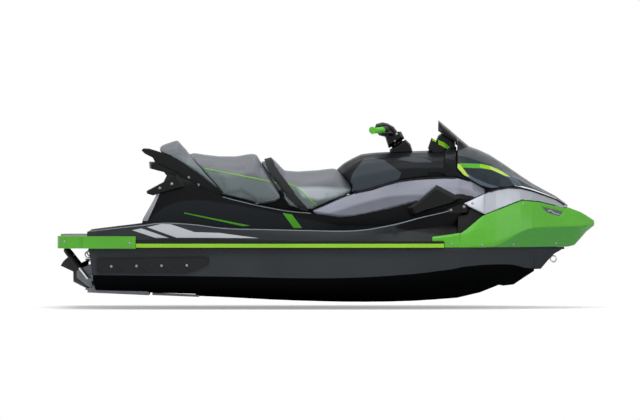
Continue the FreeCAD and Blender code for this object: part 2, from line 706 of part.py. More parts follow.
# Seats: crowned sections along the craft, parted by slanted joints
seat_shares = [
    (156, 0.27, 152, 0.13, 148.5, 170), (177, 0.30, 147, 0.16, 141.2, 180),
    (188, 0.33, 158, 0.17, 153.4, 190),
    (202, 0.345, 161, 0.18, 155.8, 200), (218, 0.36, 163, 0.19, 157.8, 204),
    (236, 0.365, 163, 0.19, 157.9, 206), (254, 0.355, 160, 0.185, 154.2, 208),
    (262, 0.35, 166, 0.18, 160.6, 210), (271, 0.345, 164.5, 0.175, 158.4, 212),
    (284, 0.34, 177, 0.17, 172, 214),
    (297, 0.335, 178.5, 0.165, 173, 215), (318, 0.325, 177, 0.16, 171.6, 216),
    (333, 0.31, 175, 0.15, 169.2, 216),
    (343, 0.30, 178, 0.14, 173, 216), (354, 0.28, 186, 0.12, 181, 216),
]


waist_share = 0.04


def seat_section(pixel):
    wide = across(read(seat_shares, pixel))
    shoulder_z = z_at(read(seat_shares, pixel, 2))
    crown_half = across(read(seat_shares, pixel, 3))
    crown = z_at(read(seat_shares, pixel, 4))
    low = z_at(read(seat_shares, pixel, 5)) - size("overrun")
    waist = (wide * (1 + waist_share), (low + shoulder_z * 2) / 3)
    side = side_arc(waist, (crown_half, crown - rise / 5), 5)
    return [(0, low), (waist[0], low)] + side + [(0, crown)]


seat_envelope = loft([row[0] for row in seat_shares], seat_section)
rear_seat_pixels = [
    (187.4, 150), (254, 150), (255.3, 155), (259.4, 162.5), (281.5, 194.5), (281.8, 197.8), (276.5, 201.7),
    (267, 204.5), (257.4, 206.2), (247.8, 203.9), (222, 197.7), (222, 193.6), (216, 186.2), (200.2, 167.5),
    (187.4, 153.8),
]
backrest_pixels = [
    (155, 140), (187, 140), (187.4, 153.8), (200.2, 167.5), (216, 186.2), (222, 193.6), (221.5, 193.2),
    (216, 187.4), (200, 174), (184.2, 163.7), (168.3, 156), (159.3, 152.6), (158.8, 148.7),
]

# Tongue of the pedestal that fills the joint between the seats
tongue_pixels = [
    (251, 166), (258.6, 165), (262.6, 165.4), (272, 176), (290, 196), (300, 203), (316, 204),
    (330, 200), (336, 206),
    (318, 214.5), (296, 213), (276, 210), (257, 206), (262, 198), (262, 184),
]
tongue_half_share = 0.2
tongue_half = across(tongue_half_share)
tongue = side_prism(tongue_pixels, -tongue_half, tongue_half).cut(cheek_outer)
rear_seat = seat_envelope.common(wide_prism(rear_seat_pixels)).cut([pedestal, tongue])
front_seat = seat_envelope.common(wide_prism(front_seat_pixels)).cut([pedestal, tongue, cheek_outer])
backrest = seat_envelope.common(wide_prism(backrest_pixels)).cut(rear_seat)


def value(expression):
    return float(sheet.evalExpression(expression))


def plane_of(body, role):
    return [f for f in body.Origin.OriginFeatures if f.Role == role][0]


def outline_sketch(body, name, role, corners):
    """A closed polygon on one of the body's planes, each corner a pair of expressions."""
    sketch = body.newObject("Sketcher::SketchObject", name)
    sketch.AttachmentSupport = [(plane_of(body, role), "")]
    sketch.MapMode = "FlatFace"
    places = [Vector(value(a), value(b), 0) for a, b in corners]
    for i, start in enumerate(places):
        sketch.addGeometry(Part.LineSegment(start, places[(i + 1) % len(places)]), False)
    for i in range(len(places)):
        sketch.addConstraint(Sketcher.Constraint("Coincident", i, 2, (i + 1) % len(places), 1))
    for i, (a, b) in enumerate(corners):
        for kind, text, amount in (("DistanceX", a, places[i].x), ("DistanceY", b, places[i].y)):
            at = sketch.addConstraint(Sketcher.Constraint(kind, -1, 1, i, 1, amount))
            sketch.setExpression(f"Constraints[{at}]", text)
    return sketch


def place(item, x, y, z):
    item.Placement.Base = Vector(x, y, z)
    return item


def turned_body(name, corners, x, y, z, angle=360, axis="X"):
    """A profile of (along, radius) pairs turned about the body's X axis."""
    body = doc.addObject("PartDesign::Body", name)
    profile = outline_sketch(body, name + "_profile", "XZ_Plane", corners)
    turn = body.newObject("PartDesign::Revolution", name + "_turn")
    turn.Profile = profile
    turn.ReferenceAxis = (profile, ["H_Axis" if axis == "X" else "V_Axis"])
    turn.Angle = angle
    profile.Visibility = False
    return place(body, x, y, z)


def plate_body(name, corners, width, x, y, z, role="XZ_Plane"):
    """A side-view outline padded both ways to a width given as an expression."""
    body = doc.addObject("PartDesign::Body", name)
    profile = outline_sketch(body, name + "_outline", role, corners)
    pad = body.newObject("PartDesign::Pad", name + "_pad")
    pad.Profile = profile
    pad.setExpression("Length", width)
    pad.Midplane = True
    return place(body, x, y, z)


def cylinder(name, radius, span, start, way):
    item = doc.addObject("Part::Cylinder", name)
    item.setExpression("Radius", radius)
    item.setExpression("Height", span)
    item.Placement = FreeCAD.Placement(start, FreeCAD.Rotation(Vector(0, 0, 1), way))
    return item


def fused(name, items):
    item = doc.addObject("Part::MultiFuse", name)
    item.Shapes = items
    return item


def cut_from(name, base, tool):
    item = doc.addObject("Part::Cut", name)
    item.Base = base
    item.Tool = tool
    return item


# Jet pump: housing with vanes, tapered end and ears for the nozzle; impeller and shaft
pump_front_x = recess_x - seam
pump_end_x = pump_front_x - size("pump_length") - size("cone_length")
pivot_x = pump_end_x - size("pivot_radius") / 2
y_way = Vector(0, 1, 0)
x_way = Vector(1, 0, 0)
z_way = Vector(0, 0, 1)

shell = turned_body(
    "pump_shell",
    [
        ("0", "Sizes.pump_bore / 2"),
        ("0", "Sizes.pump_bore / 2 + Sizes.pump_wall"),
        ("-Sizes.pump_length", "Sizes.pump_bore / 2 + Sizes.pump_wall"),
        ("-Sizes.pump_length - Sizes.cone_length", "Sizes.pump_outlet / 2 + Sizes.nozzle_wall"),
        ("-Sizes.pump_length - Sizes.cone_length", "Sizes.pump_outlet / 2"),
        ("-Sizes.pump_length", "Sizes.pump_bore / 2"),
    ],
    pump_front_x, 0, pump_z,
)
vane_start = "Sizes.impeller_length + 2 * Sizes.impeller_clearance"
stator_hub = turned_body(
    "stator_hub",
    [
        ("-(" + vane_start + ")", "0"),
        ("-(" + vane_start + ")", "Sizes.impeller_hub_radius"),
        ("-Sizes.pump_length", "Sizes.impeller_hub_radius"),
        ("-Sizes.pump_length - Sizes.cone_length * 0.6", "Sizes.impeller_hub_radius * 0.3"),
        ("-Sizes.pump_length - Sizes.cone_length * 0.7", "0"),
    ],
    pump_front_x, 0, pump_z,
)
vanes = []
for i in range(int(size("stator_vanes"))):
    vane = doc.addObject("Part::Box", f"stator_vane_{i + 1}")
    vane.setExpression("Length", "Sizes.pump_length - (" + vane_start + ") - Sizes.impeller_clearance")
    vane.setExpression("Width", "Sizes.blade_thickness")
    vane.setExpression("Height", "(Sizes.pump_bore + Sizes.pump_wall) / 2 - Sizes.impeller_hub_radius / 2")
    turn = FreeCAD.Rotation(x_way, 360 * i / size("stator_vanes"))
    local = Vector(
        -size("pump_length"), -size("blade_thickness") / 2, size("impeller_hub_radius") / 2
    )
    vane.Placement = FreeCAD.Placement(Vector(pump_front_x, 0, pump_z) + turn.multVec(local), turn)
    vanes.append(vane)

nozzle_mouth = size("nozzle_bore") / 2 + size("nozzle_wall")
boss_reach = nozzle_mouth + size("nozzle_wall")
ear_low = boss_reach + size("pivot_radius") / 7
ears = []
for sign, label in ((1, "upper"), (-1, "lower")):
    ear = doc.addObject("Part::Box", label + "_ear")
    ear.setExpression("Length", "Sizes.cone_length + Sizes.pump_wall * 3")
    ear.setExpression("Width", "Sizes.pivot_radius * 5")
    ear.setExpression("Height", "Sizes.bracket_thickness")
    ear_z = pump_z + (ear_low if sign > 0 else -ear_low - size("bracket_thickness"))
    place(ear, pivot_x - size("pivot_radius") * 2.4, -size("pivot_radius") * 2.5, ear_z)
    foot = doc.addObject("Part::Box", label + "_ear_foot")
    foot.setExpression("Length", "Sizes.pump_wall * 1.5")
    foot.setExpression("Width", "Sizes.pivot_radius * 5")
    foot_low = size("pump_bore") / 2 + size("pump_wall") / 2
    foot.Height = ear_low - foot_low + size("bracket_thickness")
    foot_z = pump_z + (foot_low if sign > 0 else -foot_low - foot.Height.Value)
    foot_x = pivot_x - size("pivot_radius") * 2.4 + size("cone_length") + size("pump_wall") * 1.5
    place(foot, foot_x, -size("pivot_radius") * 2.5, foot_z)
    pin_start = Vector(pivot_x, 0, pump_z + sign * (nozzle_mouth - size("nozzle_wall") / 2))
    pin = cylinder(
        label + "_nozzle_pin", "Sizes.pivot_radius",
        "Sizes.nozzle_wall * 1.5 + Sizes.bracket_thickness", pin_start, z_way * sign,
    )
    ears += [ear, foot, pin]
pump_housing = fused("pump_housing", [shell, stator_hub] + vanes + ears)
doc.recompute()


def blade_section(x, angle, low, high, thickness):
    turn = FreeCAD.Rotation(x_way, angle)
    corners = [(low, -thickness / 2), (high, -thickness / 2), (high, thickness / 2), (low, thickness / 2)]
    return closed([Vector(x, 0, pump_z) + turn.multVec(Vector(0, y, z)) for z, y in corners])


def impeller_blade(turn):
    tip = size("pump_bore") / 2 - size("impeller_clearance")
    wires = []
    for step in range(5):
        x = impeller_x - size("impeller_length") * (0.06 + 0.88 * step / 4)
        angle = turn + size("blade_twist") * step / 4
        wires.append(blade_section(x, angle, size("impeller_hub_radius") / 2, tip, size("blade_thickness")))
    return Part.makeLoft(wires, True, False)


impeller_x = pump_front_x - size("impeller_clearance")
engine_rear_x = engine_x - seam
hub_front = Vector(impeller_x, 0, pump_z)
hub_rear = hub_front - x_way * size("impeller_length")
hub_radius = size("impeller_hub_radius")
hub = rod(hub_front, hub_rear, hub_radius)
shaft = rod(hub_rear, Vector(engine_rear_x, 0, pump_z), size("shaft_radius"))
spinner = Part.makeCone(hub_radius, size("shaft_radius"), hub_radius, hub_front, x_way)
blades = [impeller_blade(360 * i / size("impeller_blades")) for i in range(int(size("impeller_blades")))]
node("impeller", tidy(hub.fuse([shaft, spinner] + blades)))
shaft_way = rod(
    Vector(recess_x, 0, pump_z), Vector(engine_x + overrun, 0, pump_z),
    size("shaft_radius") + size("impeller_clearance"),
)
hull.Shape = tidy(hull.Shape.cut(shaft_way))

# Steering nozzle with bosses for its pins
nozzle_shell = turned_body(
    "nozzle_shell",
    [
        ("Sizes.nozzle_lead", "Sizes.nozzle_bore / 2"),
        ("Sizes.nozzle_lead", "Sizes.nozzle_bore / 2 + Sizes.nozzle_wall"),
        ("-Sizes.nozzle_skirt", "Sizes.nozzle_bore / 2 + Sizes.nozzle_wall"),
        ("-Sizes.nozzle_length", "Sizes.nozzle_outlet / 2 + Sizes.nozzle_wall"),
        ("-Sizes.nozzle_length", "Sizes.nozzle_outlet / 2"),
        ("-Sizes.nozzle_skirt", "Sizes.nozzle_bore / 2"),
    ],
    pivot_x, 0, pump_z,
)
bosses = []
holes = []
for sign, label in ((1, "upper"), (-1, "lower")):
    start = Vector(pivot_x, 0, pump_z + sign * (nozzle_mouth - size("nozzle_wall") * 0.8))
    bosses.append(cylinder(
        label + "_boss", "Sizes.pivot_radius * 2", "Sizes.nozzle_wall * 1.8", start, z_way * sign
    ))
    start = Vector(pivot_x, 0, pump_z + sign * (nozzle_mouth - size("nozzle_wall") * 2))
    holes.append(cylinder(
        label + "_pin_hole", "Sizes.pivot_radius * 1.01", "Sizes.nozzle_wall * 5", start, z_way * sign
    ))
nozzle_body = fused("nozzle_body", [nozzle_shell] + bosses)
steering_nozzle = cut_from("steering_nozzle", nozzle_body, fused("nozzle_pin_holes", holes))

# Reverse bucket, raised: a shell turned about its pivot and two cheeks
bucket_pivot_pixel = 80.0
bucket_x = x_at(bucket_pivot_pixel)
bucket_z = pump_z
bucket_start = 108
bucket_sweep = 47
outer = size("bucket_radius") + size("bucket_wall")
half = size("bucket_half_width")


def sector(radius, low, high):
    """A slice of a cylinder about the bucket's pivot, between its stowed angles."""
    centre = Vector(bucket_x, low, bucket_z)
    rim = []
    for turn in (bucket_start, bucket_start + bucket_sweep / 2, bucket_start + bucket_sweep):
        angle = math.radians(turn)
        rim.append(centre + Vector(radius * math.cos(angle), 0, radius * math.sin(angle)))
    edges = [
        Part.LineSegment(centre, rim[0]).toShape(),
        Part.Arc(rim[0], rim[1], rim[2]).toShape(),
        Part.LineSegment(rim[2], centre).toShape(),
    ]
    return Part.Face(Part.Wire(edges)).extrude(Vector(0, high - low, 0))


def bucket_rod(low, high, radius):
    return rod(Vector(bucket_x, low, bucket_z), Vector(bucket_x, high, bucket_z), radius)


pivot_boss = bucket_rod(-half, half, size("pivot_radius") * 3)
wedge = sector(outer, -half, half)
wide_hollow = bucket_rod(-half + size("bucket_wall"), half - size("bucket_wall"), size("bucket_radius"))
pin_hole = bucket_rod(-half - overrun, half + overrun, size("pivot_radius") + size("pin_clearance"))
bucket_shape = wedge.fuse(pivot_boss).cut([wide_hollow, pin_hole])
node("reverse_bucket", tidy(bucket_shape))

# Brackets beside the pump that carry the bucket
bracket_low = half + size("bracket_gap")
bracket_high = bracket_low + size("bracket_thickness")
bracket_pixels = [
    (77.2, 271), (82, 268.3), (97, 262), (106, 262), (106, 287), (93, 290.5), (80, 280), (77.2, 277.5),
]
plate = side_prism(bracket_pixels, bracket_low, bracket_high)
pump_wall_radius = size("pump_bore") / 2 + size("pump_wall")
spacer_pixel = 103
spacers = []
for spacer_z in (pump_z - size("pump_bore") / 4, pump_z + size("pump_bore") / 4):
    spacer_start = Vector(x_at(spacer_pixel), size("pump_bore") / 3, spacer_z)
    spacers.append(rod(spacer_start, Vector(spacer_start.x, bracket_low, spacer_z), size("pump_wall")))
pump_front = Vector(pump_front_x, 0, pump_z)
pump_solid = rod(pump_front, pump_front - x_way * (size("pump_length") + overrun), pump_wall_radius)
bolt_end = bracket_high + size("bracket_thickness")
bracket_pin = bucket_rod(half - size("bucket_wall"), bolt_end, size("pivot_radius"))
bolt_head = bucket_rod(bracket_high, bolt_end, size("pivot_radius") * 1.8)
bracket = plate.fuse(spacers + [bracket_pin, bolt_head]).cut(pump_solid)
node("pump_brackets", pair(tidy(bracket)))

# Boarding step: a bent tube in rubber, hinged on the transom
step_hinge_pixels = (92.0, 280.0)
step_bar_pixel = 67.0
step_x = x_at(step_hinge_pixels[0])
step_z = z_at(step_hinge_pixels[1])
step_y = size("step_half_width")
bar_x = x_at(step_bar_pixel)
bar_z = bond_z - size("step_grip_radius") - size("bracket_gap") - size("seam_gap")
hinge_at = Vector(step_x - size("pivot_radius") * 2, step_y, step_z)
corner_at = Vector(bar_x, step_y, bar_z)
arm_way = (corner_at - hinge_at).normalize()
rubber_start_share = 0.42
grip_start = hinge_at + (corner_at - hinge_at) * rubber_start_share


def tube_path(start, corner, radius):
    """From an arm round a bend to the middle of the crossbar."""
    bend = radius * 2.4
    side = (start - corner).normalize()
    inward = Vector(0, -1, 0)
    a = corner + side * bend
    b = corner + inward * bend
    centre_way = (side + inward).normalize()
    centre = corner + (side + inward) * bend
    middle = centre - centre_way * bend
    edges = [
        Part.LineSegment(start, a).toShape(),
        Part.Arc(a, middle, b).toShape(),
        Part.LineSegment(b, Vector(corner.x, 0, corner.z)).toShape(),
    ]
    return Part.Wire(edges)


def tube(start, corner, bend, radius):
    path = tube_path(start, corner, bend)
    way = (corner - start).normalize()
    ring = Part.Wire(Part.makeCircle(radius, start, way))
    half_tube = path.makePipeShell([ring], True, False)
    return half_tube.fuse(mirrored(half_tube)).removeSplitter()


step_bend = size("step_grip_radius")
step_tube = tube(hinge_at, corner_at, step_bend, size("step_arm_radius"))
step_rubber = tube(grip_start, corner_at, step_bend, size("step_grip_radius")).cut(step_tube)
eye_width = size("step_arm_radius") * 2.3
eye = rod(hinge_at - y_way * eye_width / 2, hinge_at + y_way * eye_width / 2, size("pivot_radius") * 2)
eye_hole = rod(hinge_at - y_way * overrun, hinge_at + y_way * overrun, size("pivot_radius") * 1.01)
step_shape = step_tube.fuse([eye, mirrored(eye)]).cut([eye_hole, mirrored(eye_hole)])

node("boarding_step", tidy(step_shape))
node("step_grip", tidy(step_rubber))

# Ears and pins of the boarding step on the transom
ear_gap = size("seam_gap") * 4
ear_wide = size("bracket_thickness") * 0.8
step_mounts = []
transom_face_pixel = 94.9
transom_face_x = x_at(transom_face_pixel)
for side in (1, -1):
    low = step_y + side * (eye_width / 2 + ear_gap) - (0 if side > 0 else ear_wide)
    ear_at = Vector(hinge_at.x, low, step_z)
    ear = rod(ear_at, ear_at + y_way * ear_wide, size("pivot_radius") * 2)
    web = block(
        (hinge_at.x, low, step_z - size("pivot_radius") * 2),
        (transom_face_x + overrun, low + ear_wide, step_z + size("pivot_radius") * 2),
    )
    step_mounts += [ear, web]
pin_reach = y_way * (eye_width / 2 + ear_gap + ear_wide)
step_pin = rod(hinge_at - pin_reach, hinge_at + pin_reach, size("pivot_radius"))
base_half, base_rise = size("pivot_radius") * 3, size("pivot_radius") * 4
step_base = block(
    (transom_face_x - size("bracket_thickness") * 2, step_y - base_half, step_z - base_rise),
    (transom_face_x + overrun, step_y + base_half, step_z + base_rise),
)
eye_room = rod(hinge_at - y_way * overrun, hinge_at + y_way * overrun, size("pivot_radius") * 2.4)
step_base = step_base.cut(eye_room)
step_bracket = step_base.fuse(step_mounts + [step_pin]).cut(hull.Shape)
node("step_brackets", pair(tidy(step_bracket)))

# Ride plate under the pump, and the grate over the intake
ride_low_pixels = [
    (88, 288.6), (95, 286.6), (101, 288.2), (144, 289.6), (149.5, 292.6), (149.5, 295.4), (88, 292.2),
]
ride_half = size("ride_plate_width") / 2
ride_plate_pixels = [(88, 290.4), (149.5, 293.0), (149.5, 295.4), (88, 292.6)]
ride_plate = side_prism(ride_plate_pixels, -ride_half, ride_half)
ride_lip = side_prism(ride_low_pixels, -ride_half, -ride_half + size("bracket_thickness"))
ride_shape = ride_plate.fuse([ride_lip, mirrored(ride_lip)]).cut([hull.Shape, pump_housing.Shape])
node("ride_plate", tidy(ride_shape))

grate_pixels = [(152.5, 293.4), (199, 295.5), (199, 297.3), (152.5, 295.4)]
grate_half = size("grate_width") / 2
bars = []
count = int(size("grate_bars"))
grate_bar = size("grate_bar")
for i in range(count):
    bar_low = -grate_half + i * (size("grate_width") - grate_bar) / (count - 1)
    bars.append(side_prism(grate_pixels, bar_low, bar_low + grate_bar))
duct_half = size("duct_width") / 2
rear_rung_pixels = [(152.5, 293.4), (155, 293.5), (155, 295.5), (152.5, 295.4)]
fore_rung_pixels = [(196.5, 295.4), (199, 295.5), (199, 297.3), (196.5, 297.2)]
rungs = [side_prism(outline, -duct_half, duct_half) for outline in (rear_rung_pixels, fore_rung_pixels)]
grate_shape = bars[0].fuse(bars[1:] + rungs).cut(hull.Shape)
node("intake_grate", tidy(grate_shape))

# Sponsons on the hull's sides
sponson_pixels = [(98.7, 258.2), (209.6, 256.3), (209.6, 262), (203, 266.5), (187, 272), (98.7, 271.5)]


sponson_low_pixel, sponson_top_pixel = 276, 257


def wider(pixel):
    out = size("sponson_proud")
    half_chine = across(read(chine_shares, pixel)) + out * 0.4
    half_top = across(read(bond_width_shares, pixel)) + out * 0.4
    low = z_at(sponson_low_pixel)
    mid = z_at(sponson_top_pixel)
    return [(0, low), (half_chine, low), ((half_top + half_chine) / 2 + out * 0.3, mid), (0, mid + rise)]


sponson_body = loft([92, 113, 135, 157, 180, 215], wider)
sponson = sponson_body.common(wide_prism(sponson_pixels)).cut(hull_body)
node("sponsons", pair(tidy(sponson.common(port_half))))

# Rub rail round the sides, with its coloured insert
rail_aft, rail_fore = 137.6, 443
rail_low = bond_z - size("rail_drop")
rail_top = rail_low + size("rail_height")
rail_middle = (rail_low + rail_top) / 2
rail_out = size("rail_thickness") - size("rail_stripe_proud")
rail_window = block((x_at(rail_aft), 0, -height), (x_at(rail_fore), size("beam_overall"), height))


rail_span_pixels = (120, 470)
rail_inner_pixels = (100, 490)


def rail_band(inner, outside, low, high):
    hollow = plan_slab(inner, low - overrun, high + overrun, *rail_inner_pixels)
    return plan_slab(outside, low, high, *rail_span_pixels).cut(hollow).common(rail_window)


rail = rail_band(seam, rail_out, rail_low, rail_top)
stripe_low = rail_middle - size("rail_stripe_height") / 2
stripe_top = rail_middle + size("rail_stripe_height") / 2
stripe = rail_band(rail_out, size("rail_thickness"), stripe_low, stripe_top)
stripe = stripe.cut(rail)

# Bumpers on the stern's corners
bumper_levels_pixels = (247.7, 235.5)
bumper_fore_pixel = 137.2
bumper_side_pixel = 84.5
bumper_plan_pixels = (84, 200)
bumper_inner_pixels = (84.5, 300)
bumper_inboard_share = 0.55
bumper_low, bumper_high = [z_at(level) for level in bumper_levels_pixels]
bumper_fore_x = x_at(bumper_fore_pixel)
shell_out = size("bumper_thickness")
outside = rounded_plan(
    x_at(stern_pixel), bumper_fore_x, platform_half + shell_out, platform_corner + shell_out, bumper_low,
    bumper_high,
)
side_window = block((x_at(bumper_side_pixel), -length, -height), (bumper_fore_x, length, height))
wider_aft = plan_slab(shell_out, bumper_low, bumper_high, *bumper_plan_pixels)
outside = outside.fuse(wider_aft.common(side_window))
inner = rounded_plan(
    x_at(stern_pixel) + shell_out, bumper_fore_x + overrun, platform_half + seam, platform_corner,
    bumper_low - overrun, bumper_high + overrun,
)
inner = inner.fuse(plan_slab(seam, bumper_low - overrun, bumper_high + overrun, *bumper_inner_pixels))
corner_window = block((-length, across(bumper_inboard_share), -height), (bumper_fore_x, length, height))
corner = outside.cut(inner).common(corner_window)


# Storage bin under the hatch
bin_shares = [(470, 0.33), (538, 0.20)]
bin_pixels = [470, 504, 538]
bin_inside_pixels = [470.7, 504, 537.3]
bin_low_pixel, bin_top_pixel = 230, 197.5
bin_way_share = 0.1


def bin_section(pixel, inset):
    wide = across(read(bin_shares, pixel)) - inset
    low = z_at(bin_low_pixel) + inset
    top = z_at(bin_top_pixel)
    return [(0, low), (wide, low), (wide, top), (0, top)]


bin_block = loft(bin_pixels, lambda p: bin_section(p, 0))
bin_inside = loft(bin_inside_pixels, lambda p: bin_section(p, size("bin_wall")))
bin_inside_high = bin_inside.fuse(bin_inside.translated(Vector(0, 0, size("bin_wall") * 2)))
node("storage_bin", tidy(bin_block.cut(bin_inside_high)))
bin_way = bin_block.fuse(bin_block.translated(Vector(0, 0, bin_way_share * height)))

# Deck: gunwales, footwell floors, rear platform and the core of the bow
above_bond = block((-length, -length, bond_z), (length, length, height))
fore_core = bow_inner.common(above_bond)
deck_shape = tidy(deck_tray.fuse([platform, fore_core]).cut([engine_bay, bin_way, console_shape]))
node("deck", deck_shape)
pedestal_shape = pedestal.cut(fairing_shell).fuse([cheek_band, tongue])
pedestal_shape = pedestal_shape.cut([engine_bay, bin_way, deck_shape, console_shape, bow_outer])
pedestal_shape = tidy(pedestal_shape)
node("seat_pedestal", pedestal_shape)

# Ends of the deck, as lighter tools for what is cut by it
deck_aft_pixel, deck_fore_pixel = 145, 420
aft_window = block((-length, -length, -height), (x_at(deck_aft_pixel), length, height))
fore_window = block((x_at(deck_fore_pixel), -length, -height), (length, length, height))
deck_aft = deck_shape.common(aft_window)
deck_fore = deck_shape.common(fore_window)
tray_fore = deck_tray.common(fore_window)

node("stern_bumpers", pair(tidy(corner.cut([deck_aft, hull_body]))))
node("rub_rail", pair(tidy(rail.cut([deck_shape, hull_body]))))
node("rail_stripe", pair(tidy(stripe)))

# Bow bumper with a tail along each side of the gunwale
tail_reach_share = 0.021
tail_top_pixels = [(431, 236), (447, 234), (460, 232)]


def tail(pixel):
    foot = across(read(bond_width_shares, pixel) + tail_reach_share)
    top = z_at(read(tail_top_pixels, pixel))
    return [(0, bond_z), (foot, bond_z), (foot, top - rise / 2), (foot - rise / 2, top), (0, top)]


bumper_tail = loft(stations(431, 459, 4), tail)
rail_notch = plan_slab(overrun * 2, rail_low - seam, rail_top + seam, *rail_span_pixels).common(
    block((x_at(rail_aft), -length, -height), (x_at(rail_fore) + seam, length, height))
)
inboard = loft(stations(425, 462, 4), filled_gunwale)
bumper_shape = bumper.fuse(bumper_tail.cut([inboard, bow_inner])).cut([tray_fore, rail_notch])
node("bow_bumper", tidy(bumper_shape))


def under_hood(pixel):
    """Space between the fenders' inner lips."""
    half = across(read(hood_shares, pixel)) - size("shell_thickness") * 1.4
    return [(0, bond_z), (max(half, overrun), bond_z), (max(half, overrun), height), (0, height)]


fender = fender.cut([tray_fore, loft(stations(446, 560, 8), under_hood)])
node("fenders", tidy(fender))
node("console", console_shape)
hatch_shape = tidy(hatch_shape.cut(deck_fore))
node("hatch", hatch_shape)
node("hatch_hinge", tidy(hinge_lug.cut([deck_fore, bumper_shape, fender])))
node("rear_seat", tidy(rear_seat))
node("front_seat", tidy(front_seat))
node("backrest", tidy(backrest))

# Strap over the seat's joint
strap_pixels = [(263, 156), (271.5, 156), (276, 168), (309, 211.5), (300.5, 210), (268, 170)]


def strap_section(pixel):
    out = size("strap_thickness")
    half_outline = seat_section(pixel)
    return [(y + (out if y else 0), z + (out if i > 2 else 0)) for i, (y, z) in enumerate(half_outline)]


strap_envelope = loft([row[0] for row in seat_shares], strap_section)
strap = strap_envelope.common(wide_prism(strap_pixels))
strap = strap.cut([rear_seat, front_seat, pedestal_shape, console_shape])
node("seat_strap", tidy(strap))

# Grab handle, the panel under it and the wings beside the pedestal
handle_pixels = [
    (142.1, 151), (143.4, 149), (149, 149.3), (159.3, 152.6), (168.3, 156), (184.2, 163.7), (200, 174),
    (216, 187.4), (221.5, 193.2), (221.2, 196.2), (210.4, 194), (203, 191), (190, 182), (179, 173.4),
    (163, 166.2), (155.4, 162.2), (153, 158), (145.3, 154.1),
]
handle_bar_pixels = [(142.1, 151), (143.4, 149), (149, 149.3), (151, 156.4), (145.3, 154.1)]
handle_half_share, handle_wide_share = 0.30, 0.05
handle_half = across(handle_half_share)
handle_wide = across(handle_wide_share)
handle_arm = side_prism(handle_pixels, handle_half - handle_wide, handle_half)
handle_bar = side_prism(handle_bar_pixels, -handle_half + handle_wide / 2, handle_half - handle_wide / 2)
handle = handle_arm.fuse([mirrored(handle_arm), handle_bar]).cut([pedestal_shape, backrest, rear_seat])
node("grab_handle", tidy(handle))
panel_pixels = [
    (149.5, 162.4), (154.6, 162.4), (179, 173.4), (190, 180.2), (190, 184), (168.3, 178),
    (164.4, 172.6), (150, 168.8),
]
panel_half_share = 0.34
panel_half = across(panel_half_share)
rear_panel = pillow(panel_pixels, -panel_half, panel_half, 0.12, 0.9).cut([pedestal_shape, handle])
node("rear_panel", tidy(rear_panel))
wing_pixels = [
    (147.2, 191.1), (147.5, 193.7), (153.6, 195.6), (158.7, 194.3), (186.1, 186.7),
    (178.5, 174.5), (164.4, 182.2),
    (159.3, 184.7),
]
wing_low_share, wing_high_share = 0.33, 0.46
wing = pillow(wing_pixels, across(wing_low_share), across(wing_high_share), 0.3, 0.85)
wing = wing.cut([pedestal_shape, rear_panel])
node("seat_wings", pair(tidy(wing)))

# Foam mats on the footwell floors and on the rear platform
mat = size("mat_thickness")
well_mat_shares = (0.52, 0.74)
platform_mat_share = 0.66


def well_mat(pixel):
    """Cross-section of the port footwell's mat."""
    x = x_at(pixel)
    low = z_at(read(floor_pixels, pixel)) + seam
    sides = [across(share) for share in well_mat_shares]
    corners = [(sides[0], low), (sides[1], low), (sides[1], low + mat), (sides[0], low + mat)]
    return closed([Vector(x, y, z) for y, z in corners])


def platform_mat(pixel):
    low = z_at(read(floor_pixels, pixel)) + seam
    wide = across(platform_mat_share)
    return [(0, low), (wide, low), (wide, low + mat), (0, low + mat)]


foot_mat = Part.makeLoft([well_mat(p) for p in stations(184, 440, 12)], True, True)
foot_mat = foot_mat.cut([deck_shape, pedestal_shape])
rear_mat = loft(stations(93, 138, 4), platform_mat).cut(deck_shape)
mats = Part.makeCompound([tidy(foot_mat), mirrored(tidy(foot_mat)), tidy(rear_mat)])
node("deck_mats", mats)

# Steering: a fixed column boot, and the turning bar with its cover, grips and controls
column_foot_pixels = (403, 154)
column_axis_pixels = [(402, 152), (385, 125)]
column_foot = Vector(x_at(column_foot_pixels[0]), 0, z_at(column_foot_pixels[1]))
column_low, column_high = [Vector(x_at(px), 0, z_at(py)) for px, py in column_axis_pixels]
column_way = (column_high - column_low).normalize()
boot_pixels = [(389.4, 150.2), (405.6, 140), (410.4, 144.7), (413, 152.8), (413, 158), (391, 158)]
cover_pixels = [
    (388.7, 149), (404.6, 139), (400.8, 131.7), (398.4, 133.6), (393.6, 127.2), (387.4, 123.9),
    (382.6, 122.8),
    (376, 124.6), (374.5, 129), (378.8, 136), (385, 137.5),
]
boot_half_share = 0.13
boot_half = across(boot_half_share)
boot = pillow(boot_pixels, -boot_half, boot_half, 0.3, 0.85)
column_pin = rod(column_foot, column_foot + column_way * size("column_height"), size("bar_radius"))
collar_top = size("column_height") * 0.7
collar_low = size("column_height") * 0.2
collar_start = column_foot + column_way * collar_low
collar = rod(collar_start, column_foot + column_way * collar_top, size("collar_radius"))
boot = boot.fuse([column_pin, collar]).cut(console_shape)
node("steering_column", tidy(boot))
bar_centre = column_foot + column_way * size("bar_rise")
cover = pillow(cover_pixels, -boot_half, boot_half, 0.3, 0.8)
pin_end = column_foot + column_way * (size("column_height") + size("seam_gap") * 3)
pin_way = rod(column_foot, pin_end, size("bar_radius") + size("pin_clearance"))
collar_way = rod(
    column_foot, column_foot + column_way * (collar_top + size("collar_clearance")),
    size("collar_radius") + size("collar_clearance"),
)
bar_points_shares = [(0, 0, 0), (0, 0.31, 0.003), (-0.03, 0.636, 0.025), (-0.10, 1, 0.021)]
bar_half = size("bar_half_width")
bar_points = [
    bar_centre + Vector(dx * height, dy * bar_half, dz * height) for dx, dy, dz in bar_points_shares
]


def run_of_tube(points, radius):
    pieces = [rod(a, b, radius) for a, b in zip(points, points[1:])]
    pieces += [Part.makeSphere(radius, p) for p in points[1:-1]]
    return pieces


